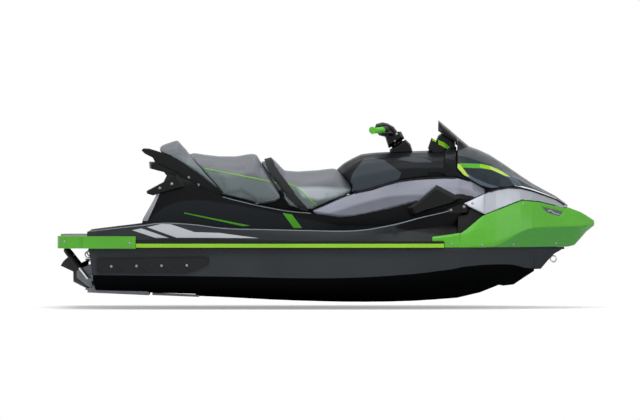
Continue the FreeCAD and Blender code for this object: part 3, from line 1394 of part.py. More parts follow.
half_bar = run_of_tube(bar_points, size("bar_radius"))
bar = half_bar[0].fuse(half_bar[1:] + [mirrored(part) for part in half_bar])
cover = cover.cut([pin_way, collar_way, bar])
node("handlebar_cover", tidy(cover))
node("handlebar", tidy(bar.cut(pin_way)))
grip_way = (bar_points[3] - bar_points[2]).normalize()
grip_end = bar_points[3] + grip_way * size("mat_thickness")
grip_start_at = grip_end - grip_way * size("grip_length")
flange_radius = size("grip_radius") + size("grip_flange")
grip = rod(grip_start_at, grip_end, size("grip_radius")).fuse([
    rod(grip_start_at, grip_start_at + grip_way * size("grip_flange"), flange_radius),
    rod(grip_end - grip_way * size("grip_flange"), grip_end, flange_radius),
])
node("grips", pair(tidy(grip.cut(bar))))
pod_start = grip_end - grip_way * (size("grip_length") + size("bar_radius") * 4.6)
pod_end = grip_end - grip_way * (size("grip_length") + size("seam_gap"))
pod = rod(pod_start, pod_end, size("grip_radius") * 1.35)
lever_way_shares = (0.9, 0, -0.35)
lever_out = Vector(*lever_way_shares).normalize() * size("grip_radius") * 3
lever_from = (pod_start + pod_end) * 0.5
lever_bend = lever_from + lever_out
lever_points = [lever_from, lever_bend, lever_bend + grip_way * size("grip_length") * 0.9]
lever = run_of_tube(lever_points, size("bar_radius") * 0.55)
controls = pod.fuse(lever + [Part.makeSphere(size("bar_radius") * 0.8, lever_points[-1])]).cut(bar)
node("bar_controls", pair(tidy(controls)))

# Instrument pod, and the windscreen on the hatch
pod_foot_pixels = [
    (438.2, 136), (441.8, 133.6), (454.8, 142.4), (455.4, 153.3), (455.6, 161.2), (448.7, 163), (435.3, 163),
    (427.6, 157), (424.6, 152.4), (431.5, 151.2),
]
pod_box_pixels = [(432.4, 138.4), (438.1, 142.8), (452.5, 151.8), (449.6, 155.2), (436, 158), (428.4, 150.6)]
pod_foot_share, pod_box_share, display_share = 0.14, 0.21, 0.16
pod_foot_half, pod_box_half = across(pod_foot_share), across(pod_box_share)
meter = pillow(pod_foot_pixels, -pod_foot_half, pod_foot_half, 0.2, 0.92)
meter = meter.fuse(pillow(pod_box_pixels, -pod_box_half, pod_box_half, 0.1, 0.85)).cut(console_shape)
display_pixels = [(429.4, 149.6), (432.8, 139.4), (431.2, 138.6), (427.6, 149.1)]
display_half = across(display_share)
display = side_prism(display_pixels, -display_half, display_half).cut([meter, console_shape])
node("meter_pod", tidy(meter))
node("display", tidy(display))
screen_shares = [
    (438.3, 0.20, 120.5, 131.5), (442, 0.225, 123.6, 134.4), (450, 0.235, 130.4, 139.4),
    (456.8, 0.235, 136.2, 143.6), (457.8, 0.235, 137.1, 150), (464, 0.22, 142.4, 153),
    (470, 0.19, 147.6, 156),
]


def screen_section(pixel):
    """A thin arch from the foot of one side over to the other."""
    wide = across(read(screen_shares, pixel))
    top = z_at(read(screen_shares, pixel, 2))
    low = z_at(read(screen_shares, pixel, 3))
    wall = size("screen_thickness")
    inside = side_arc((wide - wall, low), (0, top - wall), 4)
    return inside[::-1] + side_arc((wide, low), (0, top), 4)


screen = loft([row[0] for row in screen_shares], screen_section).cut(hatch_skirt)
node("windscreen", tidy(screen))

# Mirrors on the fairings
mirror_pixels = [
    (414.7, 201.9), (435.7, 184.7), (454.8, 194.2), (461, 198), (454.8, 202.5), (421.7, 212), (410.2, 216.6),
    (405.7, 208.3),
]
mirror_middle_pixels = [sum(values) / len(mirror_pixels) for values in zip(*mirror_pixels)]
mirror_width_shares = [(0.60, 1.0), (0.74, 0.96), (0.80, 0.78)]


def mirror_wire(width_share, draw_share):
    """The mirror's outline, drawn in towards its middle, at a place across the craft."""
    middle_px, middle_py = mirror_middle_pixels
    corners = []
    for px, py in mirror_pixels:
        x = x_at(middle_px + (px - middle_px) * draw_share)
        corners.append(Vector(x, across(width_share), z_at(middle_py + (py - middle_py) * draw_share)))
    return closed(corners)


housing = Part.makeLoft([mirror_wire(*row) for row in mirror_width_shares], True, True)
housing = housing.cut([cheek_outer, tray_fore, bow_outer])
glass_low_share, glass_high_share = 0.66, 0.77
glass_pixels = [(417.5, 201.1), (435.5, 186.3), (434.6, 185.1), (416.4, 200.1)]
glass = side_prism(glass_pixels, across(glass_low_share), across(glass_high_share))
glass = glass.cut([housing, cheek_outer])
node("mirror_housings", pair(tidy(housing)))
node("mirrors", pair(tidy(glass)))

# Cleats, tow eyes and drain plugs
cleat_pixels = [(445, 213), (447, 208), (463, 203), (467, 205), (466, 212)]
cleat_low_share, cleat_high_share = 0.735, 0.775
cleat = side_prism(cleat_pixels, across(cleat_low_share), across(cleat_high_share))
cleat = cleat.cut([tray_fore, cheek_outer, bow_outer, housing])
node("cleats", pair(tidy(cleat)))
ring = size("eye_opening") + size("eye_radius")
bow_eye_pixels = (553.5, 259.5)
stern_eye_pixel, stern_eye_share = 254.5, 0.5
bow_eye_at = Vector(x_at(bow_eye_pixels[0]), 0, z_at(bow_eye_pixels[1]))
bow_eye = Part.makeTorus(ring, size("eye_radius"), bow_eye_at, y_way).cut(hull.Shape)
stern_eye_at = Vector(
    transom_top_x - size("eye_opening") / 2, across(stern_eye_share), z_at(stern_eye_pixel)
)
stern_eye = Part.makeTorus(ring, size("eye_radius"), stern_eye_at, y_way).cut(hull.Shape)
node("tow_eyes", Part.makeCompound([tidy(bow_eye), tidy(stern_eye), mirrored(tidy(stern_eye))]))
plug_share, plug_pixel = 0.42, 283
plug_end = Vector(transom_face_x + overrun, across(plug_share), z_at(plug_pixel))
plug_face = plug_end - x_way * (overrun + size("bracket_thickness") * 2)
plug = rod(plug_face, plug_end, size("eye_opening")).cut(hull.Shape)
node("drain_plugs", pair(tidy(plug)))

# Every piece is checked before any file is written
pieces = [
    "hull", "deck", "seat_pedestal", "engine_block", "side_fairings", "console", "fenders", "bow_bumper",
    "stern_bumpers", "rub_rail", "rail_stripe", "sponsons", "ride_plate", "intake_grate", "pump_housing",
    "impeller", "steering_nozzle", "reverse_bucket", "pump_brackets", "boarding_step", "step_grip",
    "step_brackets", "deck_mats", "rear_seat", "front_seat", "backrest", "seat_strap", "grab_handle",
    "rear_panel", "seat_wings", "steering_column", "handlebar", "handlebar_cover", "grips", "bar_controls",
    "meter_pod", "display", "windscreen", "hatch", "storage_bin", "mirror_housings", "mirrors", "cleats",
    "tow_eyes", "drain_plugs", "hatch_hinge", "bow_lamps", "side_vents",
]
doc.recompute()
for item in doc.Objects:
    if "Invalid" in item.State or "Error" in item.State:
        raise RuntimeError(f"{item.Name} failed: {item.State}")
for name in pieces:
    item = doc.getObject(name)
    item.Label = name
    if item.Shape.isNull() or not item.Shape.isValid() or not item.Shape.Solids:
        raise RuntimeError(f"{name} has no valid shape")
os.makedirs("parts", exist_ok=True)
for name in pieces:
    doc.getObject(name).Shape.exportStep(f"parts/{name}.step")
print(len(pieces), "pieces written")
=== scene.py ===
import bpy
import math
import numpy as np
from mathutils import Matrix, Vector
from mathutils.bvhtree import BVHTree


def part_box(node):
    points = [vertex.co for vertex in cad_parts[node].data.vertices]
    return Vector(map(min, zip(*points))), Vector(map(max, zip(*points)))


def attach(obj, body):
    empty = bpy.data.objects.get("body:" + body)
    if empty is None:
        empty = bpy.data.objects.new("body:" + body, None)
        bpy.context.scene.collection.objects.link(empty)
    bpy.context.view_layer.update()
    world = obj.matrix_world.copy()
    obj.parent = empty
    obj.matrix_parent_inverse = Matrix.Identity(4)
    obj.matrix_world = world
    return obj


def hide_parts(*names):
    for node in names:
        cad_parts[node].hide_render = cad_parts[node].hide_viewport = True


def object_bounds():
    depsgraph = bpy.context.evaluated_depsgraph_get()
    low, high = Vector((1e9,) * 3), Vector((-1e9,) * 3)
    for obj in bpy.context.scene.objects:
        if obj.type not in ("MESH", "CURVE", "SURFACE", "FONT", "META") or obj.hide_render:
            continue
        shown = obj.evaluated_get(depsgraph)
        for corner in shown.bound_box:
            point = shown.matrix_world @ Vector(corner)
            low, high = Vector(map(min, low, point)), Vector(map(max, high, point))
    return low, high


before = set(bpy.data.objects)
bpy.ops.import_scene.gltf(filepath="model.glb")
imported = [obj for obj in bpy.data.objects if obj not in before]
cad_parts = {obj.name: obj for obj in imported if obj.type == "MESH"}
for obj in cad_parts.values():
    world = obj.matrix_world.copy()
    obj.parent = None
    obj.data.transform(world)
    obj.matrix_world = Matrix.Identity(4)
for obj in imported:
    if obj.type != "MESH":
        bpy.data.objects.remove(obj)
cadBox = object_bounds()
print("frame loaded:", len(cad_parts), "nodes")

# where the photograph's picture plane lies on the craft
photoView = {
    "metresPerPixel": 3.58 / 535,
    "originPixel": (290.0, 260.0),
    "imageSize": (640, 420),
    "elevation": 0.8,      # degrees above the horizon
    "distance": 60.0,      # a long lens, so that the view is nearly parallel
    "lift": 0.0045,        # splits the tilt between near side and centreline
    "sensor": 36,
    "clipEnd": 300,
}


def xAt(pixel):
    return (pixel - photoView["originPixel"][0]) * photoView["metresPerPixel"]


def zAt(pixel):
    return (photoView["originPixel"][1] - pixel) * photoView["metresPerPixel"]


# colours as they are seen, from 0 to 255, made linear for the shaders
def seen(red, green, blue):
    parts = np.array([red, green, blue]) / 255
    return tuple(np.where(parts <= 0.04045, parts / 12.92, ((parts + 0.055) / 1.055) ** 2.4))


colours = {
    "lime": seen(88, 174, 50),
    "limePaintedShade": seen(66, 146, 54),
    "brightLime": seen(142, 204, 36),
    "paleLime": seen(190, 222, 92),
    "silver": seen(104, 106, 117),
    "silverPaintedShade": seen(72, 74, 84),
    "decalSilver": seen(176, 178, 184),
    "hullGrey": seen(62, 65, 68),
    "deepBlack": seen(13, 14, 16),
    "deckBlack": seen(22, 24, 27),
    "deckGrey": seen(30, 34, 37),
    "panelGreyAndReflection": seen(60, 67, 73),
    "slate": seen(84, 98, 110),
    "hoodGrey": seen(44, 52, 58),
    "seatTop": seen(108, 111, 117),
    "seatSide": seen(108, 119, 121),
    "seatPaintedSheen": seen(186, 194, 200),
    "rimLight": seen(120, 132, 140),
    "undersidePaintedShade": seen(13, 14, 15),
    "hollowPaintedShade": seen(3, 3, 4),
}


# materials are built from nodes: a helper adds nodes to a tree and gives back the socket with the result
def newMaterial(name):
    material = bpy.data.materials.new(name)
    material.use_nodes = True
    tree = material.node_tree
    return material, tree, tree.nodes["Principled BSDF"]


def addNode(tree, kind, **values):
    node = tree.nodes.new(kind)
    for key, value in values.items():
        setattr(node, key, value)
    return node


# links a socket, or sets a plain number or colour
def plug(tree, value, socket):
    if isinstance(value, bpy.types.NodeSocket):
        tree.links.new(value, socket)
    elif isinstance(value, tuple) and len(value) == 3 and socket.type == "RGBA":
        socket.default_value = value + (1,)
    else:
        socket.default_value = value


def linkAll(tree, *pairs):
    for start, end in pairs:
        tree.links.new(start, end)


def reckon(tree, operation, first, second=0.0, third=0.0):
    node = addNode(tree, "ShaderNodeMath", operation=operation)
    for socket, value in zip(node.inputs, (first, second, third)):
        plug(tree, value, socket)
    return node.outputs[0]


def rescale(tree, value, fromLow, fromHigh, toLow=0, toHigh=1):
    node = addNode(tree, "ShaderNodeMapRange")
    sockets = ("From Min", "From Max", "To Min", "To Max", "Value")
    for name, number in zip(sockets, (fromLow, fromHigh, toLow, toHigh, value)):
        plug(tree, number, node.inputs[name])
    return node.outputs["Result"]


def objectPoints(tree):
    return addNode(tree, "ShaderNodeTexCoord").outputs["Object"]


def axes(tree, points):
    parts = addNode(tree, "ShaderNodeSeparateXYZ")
    tree.links.new(points, parts.inputs[0])
    return parts.outputs


def noise(tree, points, scale, detail):
    node = addNode(tree, "ShaderNodeTexNoise")
    node.inputs["Scale"].default_value = scale
    node.inputs["Detail"].default_value = detail
    tree.links.new(points, node.inputs["Vector"])
    return node.outputs["Fac"]


def mixColour(tree, factor, first, second):
    node = addNode(tree, "ShaderNodeMix", data_type="RGBA")
    plug(tree, factor, node.inputs["Factor"])
    plug(tree, first, node.inputs[6])
    plug(tree, second, node.inputs[7])
    return node.outputs[2]


def bumpOf(tree, shader, height, strength, distance):
    node = addNode(tree, "ShaderNodeBump")
    node.inputs["Strength"].default_value = strength
    node.inputs["Distance"].default_value = distance
    tree.links.new(height, node.inputs["Height"])
    earlier = shader.inputs["Normal"].links
    if earlier:
        tree.links.new(earlier[0].from_socket, node.inputs["Normal"])
    tree.links.new(node.outputs["Normal"], shader.inputs["Normal"])


def shade(colour, factor):
    return tuple(min(c * factor, 1) for c in colour)


# what every moulded or painted surface has: a slow drift of colour, uneven gloss and a fine grain
surfaceWear = {"colourScale": 2.3, "glossScale": 14, "noiseRange": (0.3, 0.7), "glossRange": (-0.04, 0.05),
               "leastRough": 0.02, "grainStrength": 0.25, "coatRough": 0.06}


# colour times 1 - spread to 1 + spread by slow noise, roughness by finer noise, and a bump for the grain
def moulded(name, colour, rough=0.35, grain=900, depth=0.0001, spread=0.08, metallic=0.0, coat=0.0,
            specular=0.4):
    material, tree, shader = newMaterial(name)
    points = objectPoints(tree)
    drift = rescale(tree, noise(tree, points, surfaceWear["colourScale"], 2), *surfaceWear["noiseRange"])
    base = mixColour(tree, drift, shade(colour, 1 - spread), shade(colour, 1 + spread))
    low, high = (rough + change for change in surfaceWear["glossRange"])
    gloss = rescale(tree, noise(tree, points, surfaceWear["glossScale"], 4), *surfaceWear["noiseRange"],
                    max(low, surfaceWear["leastRough"]), high)
    for socket, value in (("Base Color", base), ("Roughness", gloss), ("Metallic", metallic),
                          ("Specular IOR Level", specular), ("Coat Weight", coat),
                          ("Coat Roughness", surfaceWear["coatRough"])):
        plug(tree, value, shader.inputs[socket])
    bumpOf(tree, shader, noise(tree, points, grain, 2), surfaceWear["grainStrength"], depth)
    return material, tree, shader


# lays a second finish over a material wherever a mask is 1
def overlay(tree, shader, mask, colour, rough=None):
    base, gloss = shader.inputs["Base Color"], shader.inputs["Roughness"]
    tree.links.new(mixColour(tree, mask, base.links[0].from_socket, colour), base)
    if rough is not None:
        mix = addNode(tree, "ShaderNodeMix", data_type="FLOAT")
        plug(tree, mask, mix.inputs["Factor"])
        plug(tree, gloss.links[0].from_socket, mix.inputs[2])
        plug(tree, rough, mix.inputs[3])
        tree.links.new(mix.outputs[0], gloss)


crispEdge = 0.0008      # half width of a painted edge, in metres


# 1 inside a convex side-view outline: the least signed distance from its edges, cut off at zero
def insideOutline(tree, points, corners, soft=crispEdge):
    places = np.array([(xAt(px), zAt(py)) for px, py in corners])
    if np.cross(places - places[0], np.roll(places, -1, 0) - places[0]).sum() < 0:
        places = places[::-1]
    least = None
    for start, end in zip(places, np.roll(places, -1, 0)):
        way = (end - start) / np.hypot(*(end - start))
        normal = (-way[1], way[0])
        dot = addNode(tree, "ShaderNodeVectorMath", operation="DOT_PRODUCT")
        tree.links.new(points, dot.inputs[0])
        dot.inputs[1].default_value = (normal[0], 0, normal[1])
        away = reckon(tree, "SUBTRACT", dot.outputs["Value"], float(np.dot(normal, start)))
        least = away if least is None else reckon(tree, "MINIMUM", least, away)
    return rescale(tree, least, -soft, soft)


# height of a given line over X, as a curve through (pixel along, pixel down) places
def heightAlong(tree, points, places):
    along = [xAt(px) for px, py in places]
    heights = [zAt(py) for px, py in places]
    low, high = min(heights), max(heights)
    node = addNode(tree, "ShaderNodeFloatCurve")
    curve = node.mapping.curves[0]
    spots = [((x - along[0]) / (along[-1] - along[0]), (z - low) / (high - low))
             for x, z in zip(along, heights)]
    curve.points[0].location = spots[0]
    curve.points[1].location = spots[-1]
    for spot in spots[1:-1]:
        curve.points.new(*spot)
    for point in curve.points:
        point.handle_type = "AUTO_CLAMPED"
    node.mapping.update()
    tree.links.new(rescale(tree, axes(tree, points)[0], along[0], along[-1]), node.inputs["Value"])
    return rescale(tree, node.outputs[0], 0, 1, low, high)


def belowLine(tree, points, places, soft=crispEdge):
    gap = reckon(tree, "SUBTRACT", heightAlong(tree, points, places), axes(tree, points)[2])
    return rescale(tree, gap, -soft, soft)


def bothOf(tree, first, second):
    return reckon(tree, "MULTIPLY", first, second)


finishes = {
    "hullGloss": dict(colour=colours["hullGrey"], rough=0.4, grain=60, depth=0.00006, specular=0.0),
    "deckMoulding": dict(colour=colours["deckGrey"], rough=0.36, specular=0.1),
    "pedestalMoulding": dict(colour=colours["deepBlack"], rough=0.32, specular=0.1),
    # silverPaint on the fenders is a lighter copy of the fairings' silver: painted light on faces that look
    # up
    "silverPaint": dict(colour=seen(156, 160, 168), rough=0.34, metallic=0.45, grain=1800, spread=0.05),
    "fairingSilver": dict(colour=colours["silver"], rough=0.38, metallic=0.5, grain=1800, spread=0.05),
    "darkPanel": dict(colour=colours["deckBlack"], rough=0.32, specular=0.1),
    "greenPlastic": dict(colour=colours["lime"], rough=0.32, specular=0.3),
    "bumperGreen": dict(colour=colours["lime"], rough=0.28, specular=0.25, coat=0.06),
    "podPlastic": dict(colour=colours["deepBlack"], rough=0.4, specular=0.2),
    "sponsonPlastic": dict(colour=seen(30, 32, 34), rough=0.45, specular=0.15),
    "brightGreen": dict(colour=colours["brightLime"], rough=0.35),
    "blackPlastic": dict(colour=colours["deepBlack"], rough=0.42, specular=0.18),
    "beadGrey": dict(colour=colours["rimLight"], rough=0.4),
    "boltSteel": dict(colour=seen(140, 142, 146), rough=0.3, metallic=0.8, grain=500, spread=0.04),
    "pipingGreen": dict(colour=seen(128, 206, 40), rough=0.5, grain=900),
    "weltGrey": dict(colour=seen(136, 140, 144), rough=0.55, grain=900, specular=0.3),
    "lampStrip": dict(colour=seen(200, 206, 212), rough=0.2, specular=0.5),
    "blackRubber": dict(colour=seen(26, 25, 27), rough=0.6, grain=400, depth=0.0003, specular=0.2),
    "castAluminium": dict(colour=seen(120, 124, 130), rough=0.42, metallic=0.8, grain=500, depth=0.0003),
    "stainless": dict(colour=seen(200, 202, 205), rough=0.2, metallic=1.0, grain=300, spread=0.03),
    "engineMetal": dict(colour=seen(80, 80, 82), rough=0.5, metallic=0.6),
    "nozzleBlack": dict(colour=seen(20, 21, 23), rough=0.4),
    "foamMat": dict(colour=seen(34, 36, 38), rough=0.85, grain=250, depth=0.0006, specular=0.15),
    "strapWeb": dict(colour=seen(44, 46, 48), rough=0.75, grain=600, depth=0.0005, specular=0.2),
    "gripGreen": dict(colour=seen(92, 190, 50), rough=0.5, grain=300, depth=0.0004),
    "smokedScreen": dict(colour=seen(10, 11, 12), rough=0.15, specular=0.12),
    "hoodGloss": dict(colour=colours["hoodGrey"], rough=0.26, specular=0.12),
    "displayGlass": dict(colour=seen(168, 176, 184), rough=0.12),
    "mirrorGlass": dict(colour=seen(96, 102, 108), rough=0.04, metallic=1.0, spread=0.02),
    "lampLens": dict(colour=seen(70, 76, 80), rough=0.12, coat=0.5),
}
built = {name: moulded(name, **values) for name, values in finishes.items()}
materials = {name: parts[0] for name, parts in built.items()}

# paint that follows the craft's own lines, by finish and in the order in which it is laid on, some of it
# painted shade and
# painted reflection: inside a convex outline or below a line, in pixels of the side view, with soft as half
# the edge's width in metres and outboard as the distance from the middle at which the paint begins
paintwork = {
    "hullGloss": [
        # painted shade: the hull's bottom below the chine, which faces down, painted near black
        dict(colour="undersidePaintedShade", rough=0.4,
             below=[(84, 274), (150, 274.7), (230, 275.6), (314, 277.2), (342, 277), (398, 274.2),
                    (450, 268.6), (470, 265.4), (501, 264), (518, 266), (536, 269), (566, 262)]),
    ],
    "deckMoulding": [
        # rear stripe, then the broad part and the taper of the one ahead of it
        dict(colour="decalSilver", rough=0.35, outboard=0.50,
             inside=[(133.5, 229.6), (143, 227.8), (170, 237.2), (157, 237.2)]),
        dict(colour="decalSilver", rough=0.35, outboard=0.50,
             inside=[(148.5, 226.6), (163, 223.4), (172, 223.8), (196, 231.6), (196, 237), (178, 237)]),
        dict(colour="decalSilver", rough=0.35, outboard=0.50,
             inside=[(195.9, 231.5), (220, 232.2), (259, 237.4), (195.9, 237)]),
        # painted shade: the hollow behind the bow bumper, which lies in shadow, painted near black
        dict(colour="hollowPaintedShade", soft=0.006,
             inside=[(392, 227), (420, 216), (450, 207), (492, 204), (486, 233), (452, 237)]),
    ],
    "pedestalMoulding": [
        dict(colour="deckGrey", soft=0.006,
             below=[(150, 219), (160, 211), (172, 204.5), (186, 201), (200, 200.6), (222, 203), (257, 209),
                    (290, 216), (340, 226)]),
        # thin line under the rear seat, the band below the front one, and the light border astern
        dict(colour="lime", rough=0.35,
             inside=[(184.5, 212.6), (250.5, 225.6), (243, 226.2), (185, 213.5)]),
        dict(colour="lime", rough=0.35,
             inside=[(282.8, 213), (292, 214.6), (302.2, 228), (293.8, 228)]),
        dict(colour="decalSilver", rough=0.35,
             inside=[(141, 221), (150.5, 205.4), (168.2, 172.4), (171, 172.6), (155, 206.5), (149, 221)]),
    ],
    "hoodGloss": [
        # border, dark panel, the stripe along its top in three parts, the one behind it, and the nose
        dict(colour="slate", outboard=0.07,
             inside=[(452.8, 163), (481, 164), (494, 167.3), (514, 177), (524, 188), (512, 188.6),
                     (497, 190), (480, 185), (464, 176)]),
        dict(colour="hoodGrey", outboard=0.07,
             inside=[(461.5, 167.6), (478, 168.6), (490, 170), (508, 178.5), (514, 186.5), (500, 187.4),
                     (487, 184), (474, 178.4), (467, 174)]),
        dict(colour="lime", outboard=0.07,
             inside=[(458.4, 163.7), (479.5, 164.2), (478.5, 168.4), (460.6, 167.8)]),
        dict(colour="brightLime", outboard=0.07,
             inside=[(479.5, 164.2), (489.6, 166.4), (496, 171.2), (488.6, 169.7), (478.5, 168.4)]),
        dict(colour="paleLime", outboard=0.07,
             inside=[(489.6, 166.4), (500, 171), (510, 177.3), (504, 175.9), (490, 169.6)]),
        dict(colour="paleLime", outboard=0.07,
             inside=[(452.6, 163.4), (459.4, 164.7), (468.8, 177.2), (463.4, 175.5)]),
        dict(colour="slate", outboard=0.07,
             inside=[(518, 182), (530, 187.6), (548, 195), (566, 206), (552, 199.5), (530, 190.4)]),
    ],
    "darkPanel": [
        # painted reflections on the glossy black console, laid on as crisp grey panels: the knee patch, then
        # the line at the foot of the handlebar cover
        dict(colour="panelGreyAndReflection", rough=0.35, soft=0.0012,
             inside=[(347, 190), (353, 173), (364, 158.6), (372, 157.8), (384, 160.4), (401, 173),
                     (398, 181), (376, 189.5), (354, 193.4)]),
        dict(colour="panelGreyAndReflection", rough=0.3, soft=0.001,
             inside=[(397, 159.4), (404, 157.2), (424, 158.6), (432, 162), (430, 162.9), (414, 162.8)]),
    ],
    "bumperGreen": [
        # painted shade: the bumper's lower face, below its crease, darker
        dict(colour="limePaintedShade", soft=0.004,
             below=[(444, 252), (480, 247.4), (492, 245.6), (505, 240.2), (520, 231.8), (535, 227.4),
                    (560, 227), (594, 226)]),
    ],
    "fairingSilver": [
        # painted shade: the fairing's lower half, below its crease, darker
        dict(colour="silverPaintedShade", soft=0.010,
             below=[(310, 216), (330, 212.6), (352, 206), (372, 200.6), (391, 196.4), (416, 194.8),
                    (440, 197), (465, 202)]),
    ],
    "podPlastic": [
        dict(colour="brightLime", inside=[(438, 140.6), (444, 143), (447.2, 149.4), (438.4, 144.8)]),
        dict(colour="lime", inside=[(444, 143), (448.8, 146.8), (453.4, 152), (451.8, 155.6),
                                    (448.4, 152.4), (446, 148.6)]),
        dict(colour="brightLime", inside=[(431.8, 138.4), (436.4, 140.8), (435.6, 142.6), (431.4, 140.6)]),
    ],
}


# 1 on either side of the craft, from a distance off the middle outwards
def onlyOutboard(tree, points, least, soft=0.001):
    side = reckon(tree, "ABSOLUTE", axes(tree, points)[1])
    return rescale(tree, side, least - soft, least + soft)


for name, marks in paintwork.items():
    tree, shader = built[name][1:]
    points = objectPoints(tree)
    for mark in marks:
        masking, places = (insideOutline, mark["inside"]) if "inside" in mark else (belowLine, mark["below"])
        mask = masking(tree, points, places, mark.get("soft", crispEdge))
        if "outboard" in mark:
            mask = bothOf(tree, mask, onlyOutboard(tree, points, mark["outboard"]))
        overlay(tree, shader, mask, colours[mark["colour"]], mark.get("rough"))


# a plain bar gauge, in shares of the display's half width and of its height: where the dark frame, the middle
# field and the bars fade in, how far apart the bars stand, and how their tops rise outwards
gauge = {"frame": (0.84, 0.86), "fieldWide": (0.30, 0.28), "fieldHigh": (0.56, 0.54),
         "barsFrom": (0.36, 0.38), "barsFoot": (0.16, 0.18), "barPitch": 0.05, "barEdge": (0.020, 0.026),
         "topRise": 0.7, "topStart": 0.12, "topEdge": (0, 0.02)}


def displayMarks():
    tree, shader = built["displayGlass"][1:]
    _, y, z = axes(tree, objectPoints(tree))
    low, high = (np.array(corner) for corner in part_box("display"))
    half, rise = (high[1] - low[1]) / 2, high[2] - low[2]
    across = reckon(tree, "DIVIDE", reckon(tree, "ABSOLUTE", y), float(half))
    level = reckon(tree, "DIVIDE", reckon(tree, "SUBTRACT", z, float(low[2])), float(rise))
    fold = reckon(tree, "ABSOLUTE", reckon(tree, "MULTIPLY_ADD", level, 2.0, -1.0))
    top = reckon(tree, "MULTIPLY_ADD", across, gauge["topRise"], gauge["topStart"])
    border = rescale(tree, reckon(tree, "MAXIMUM", across, fold), *gauge["frame"])
    field = bothOf(tree, rescale(tree, across, *gauge["fieldWide"]), rescale(tree, fold, *gauge["fieldHigh"]))
    teeth = rescale(tree, reckon(tree, "PINGPONG", across, gauge["barPitch"]), *gauge["barEdge"])
    reach = rescale(tree, reckon(tree, "SUBTRACT", top, level), *gauge["topEdge"])
    sides = bothOf(tree, rescale(tree, across, *gauge["barsFrom"]), rescale(tree, level, *gauge["barsFoot"]))
    overlay(tree, shader, bothOf(tree, bothOf(tree, teeth, reach), sides), colours["slate"])
    overlay(tree, shader, field, colours["panelGreyAndReflection"])
    overlay(tree, shader, border, colours["deepBlack"])


# foam mats cut with diamond grooves
groove = {"pitch": 0.016, "width": 0.0025, "strength": 0.8, "depth": 0.002}


def matGrooves():
    tree, shader = built["foamMat"][1:]
    x, y, _ = axes(tree, objectPoints(tree))
    cuts = []
    for sign in (1, -1):
        slant = reckon(tree, "MULTIPLY_ADD", y, float(sign), x)
        cuts.append(rescale(tree, reckon(tree, "PINGPONG", slant, groove["pitch"]), 0.0, groove["width"]))
    bumpOf(tree, shader, reckon(tree, "MINIMUM", *cuts), groove["strength"], groove["depth"])


# slanted ribs on the sponsons' lower half, their grooves darkened with painted shade
rib = {"slant": 1.3, "pitch": 0.075, "width": 0.006, "fadePixels": (266.8, 266), "strength": 0.8,
       "depth": 0.004}


def sponsonRibs():
    tree, shader = built["sponsonPlastic"][1:]
    x, _, z = axes(tree, objectPoints(tree))
    wave = reckon(tree, "PINGPONG", reckon(tree, "MULTIPLY_ADD", z, rib["slant"], x), rib["pitch"])
    plain = rescale(tree, z, *(zAt(py) for py in rib["fadePixels"]))
    height = reckon(tree, "MAXIMUM", rescale(tree, wave, 0, rib["width"]), plain)
    bumpOf(tree, shader, height, rib["strength"], rib["depth"])
    # painted shade: the grooves between the ribs darkened towards black
    overlay(tree, shader, reckon(tree, "SUBTRACT", 1.0, height), colours["deepBlack"])


displayMarks()
matGrooves()
sponsonRibs()
print("materials made:", len(materials))

# the CAD nodes that each finish goes on
finishNodes = {
    "hullGloss": ["hull"],
    "deckMoulding": ["deck"],
    "pedestalMoulding": ["seat_pedestal"],
    "engineMetal": ["engine_block"],
    "fairingSilver": ["side_fairings"],
    "darkPanel": ["console"],
    "silverPaint": ["fenders"],
    "bumperGreen": ["bow_bumper"],
    "greenPlastic": ["stern_bumpers"],
    "blackRubber": ["rub_rail", "step_grip"],
    "brightGreen": ["rail_stripe"],
    "sponsonPlastic": ["sponsons"],
    "castAluminium": ["ride_plate", "intake_grate", "pump_housing", "pump_brackets", "step_brackets"],
    "stainless": ["impeller", "boarding_step", "hatch_hinge", "tow_eyes"],
    "nozzleBlack": ["steering_nozzle", "reverse_bucket"],
    "foamMat": ["deck_mats"],
    "strapWeb": ["seat_strap"],
    "blackPlastic": ["grab_handle", "rear_panel", "seat_wings", "steering_column", "handlebar",
                     "handlebar_cover", "bar_controls", "storage_bin", "mirror_housings", "cleats",
                     "drain_plugs", "side_vents"],
    "gripGreen": ["grips"],
    "podPlastic": ["meter_pod"],
    "displayGlass": ["display"],
    "smokedScreen": ["windscreen"],
    "hoodGloss": ["hatch"],
    "mirrorGlass": ["mirrors"],
    "lampLens": ["bow_lamps"],
}

# how the edges of CAD meshes are finished: distance in metres, angles in degrees
edgeFinish = {"weld": 0.00002, "smoothBelow": 32, "flatWithin": 1.5, "bevelAbove": 28, "segments": 2,
              "relax": 0.5}

# edges broken by a small radius: width of the bevel in metres by node
brokenEdges = {
    "stern_bumpers": 0.004, "cleats": 0.003, "grab_handle": 0.004, "seat_wings": 0.004,
    "rear_panel": 0.004, "reverse_bucket": 0.003, "windscreen": 0.0015, "bar_controls": 0.0015,
    "sponsons": 0.003, "step_brackets": 0.002, "rub_rail": 0.002, "pump_brackets": 0.002,
    "deck_mats": 0.002, "rail_stripe": 0.001,
}

# moulded covers and panels with soft edges: (voxel in metres, rounds of smoothing) by node
softMouldings = {
    "console": (0.007, 12), "side_fairings": (0.006, 10), "handlebar_cover": (0.003, 12),
    "mirror_housings": (0.0035, 6), "meter_pod": (0.0025, 5), "steering_column": (0.003, 6),
    "fenders": (0.005, 4), "bow_bumper": (0.006, 5),
}


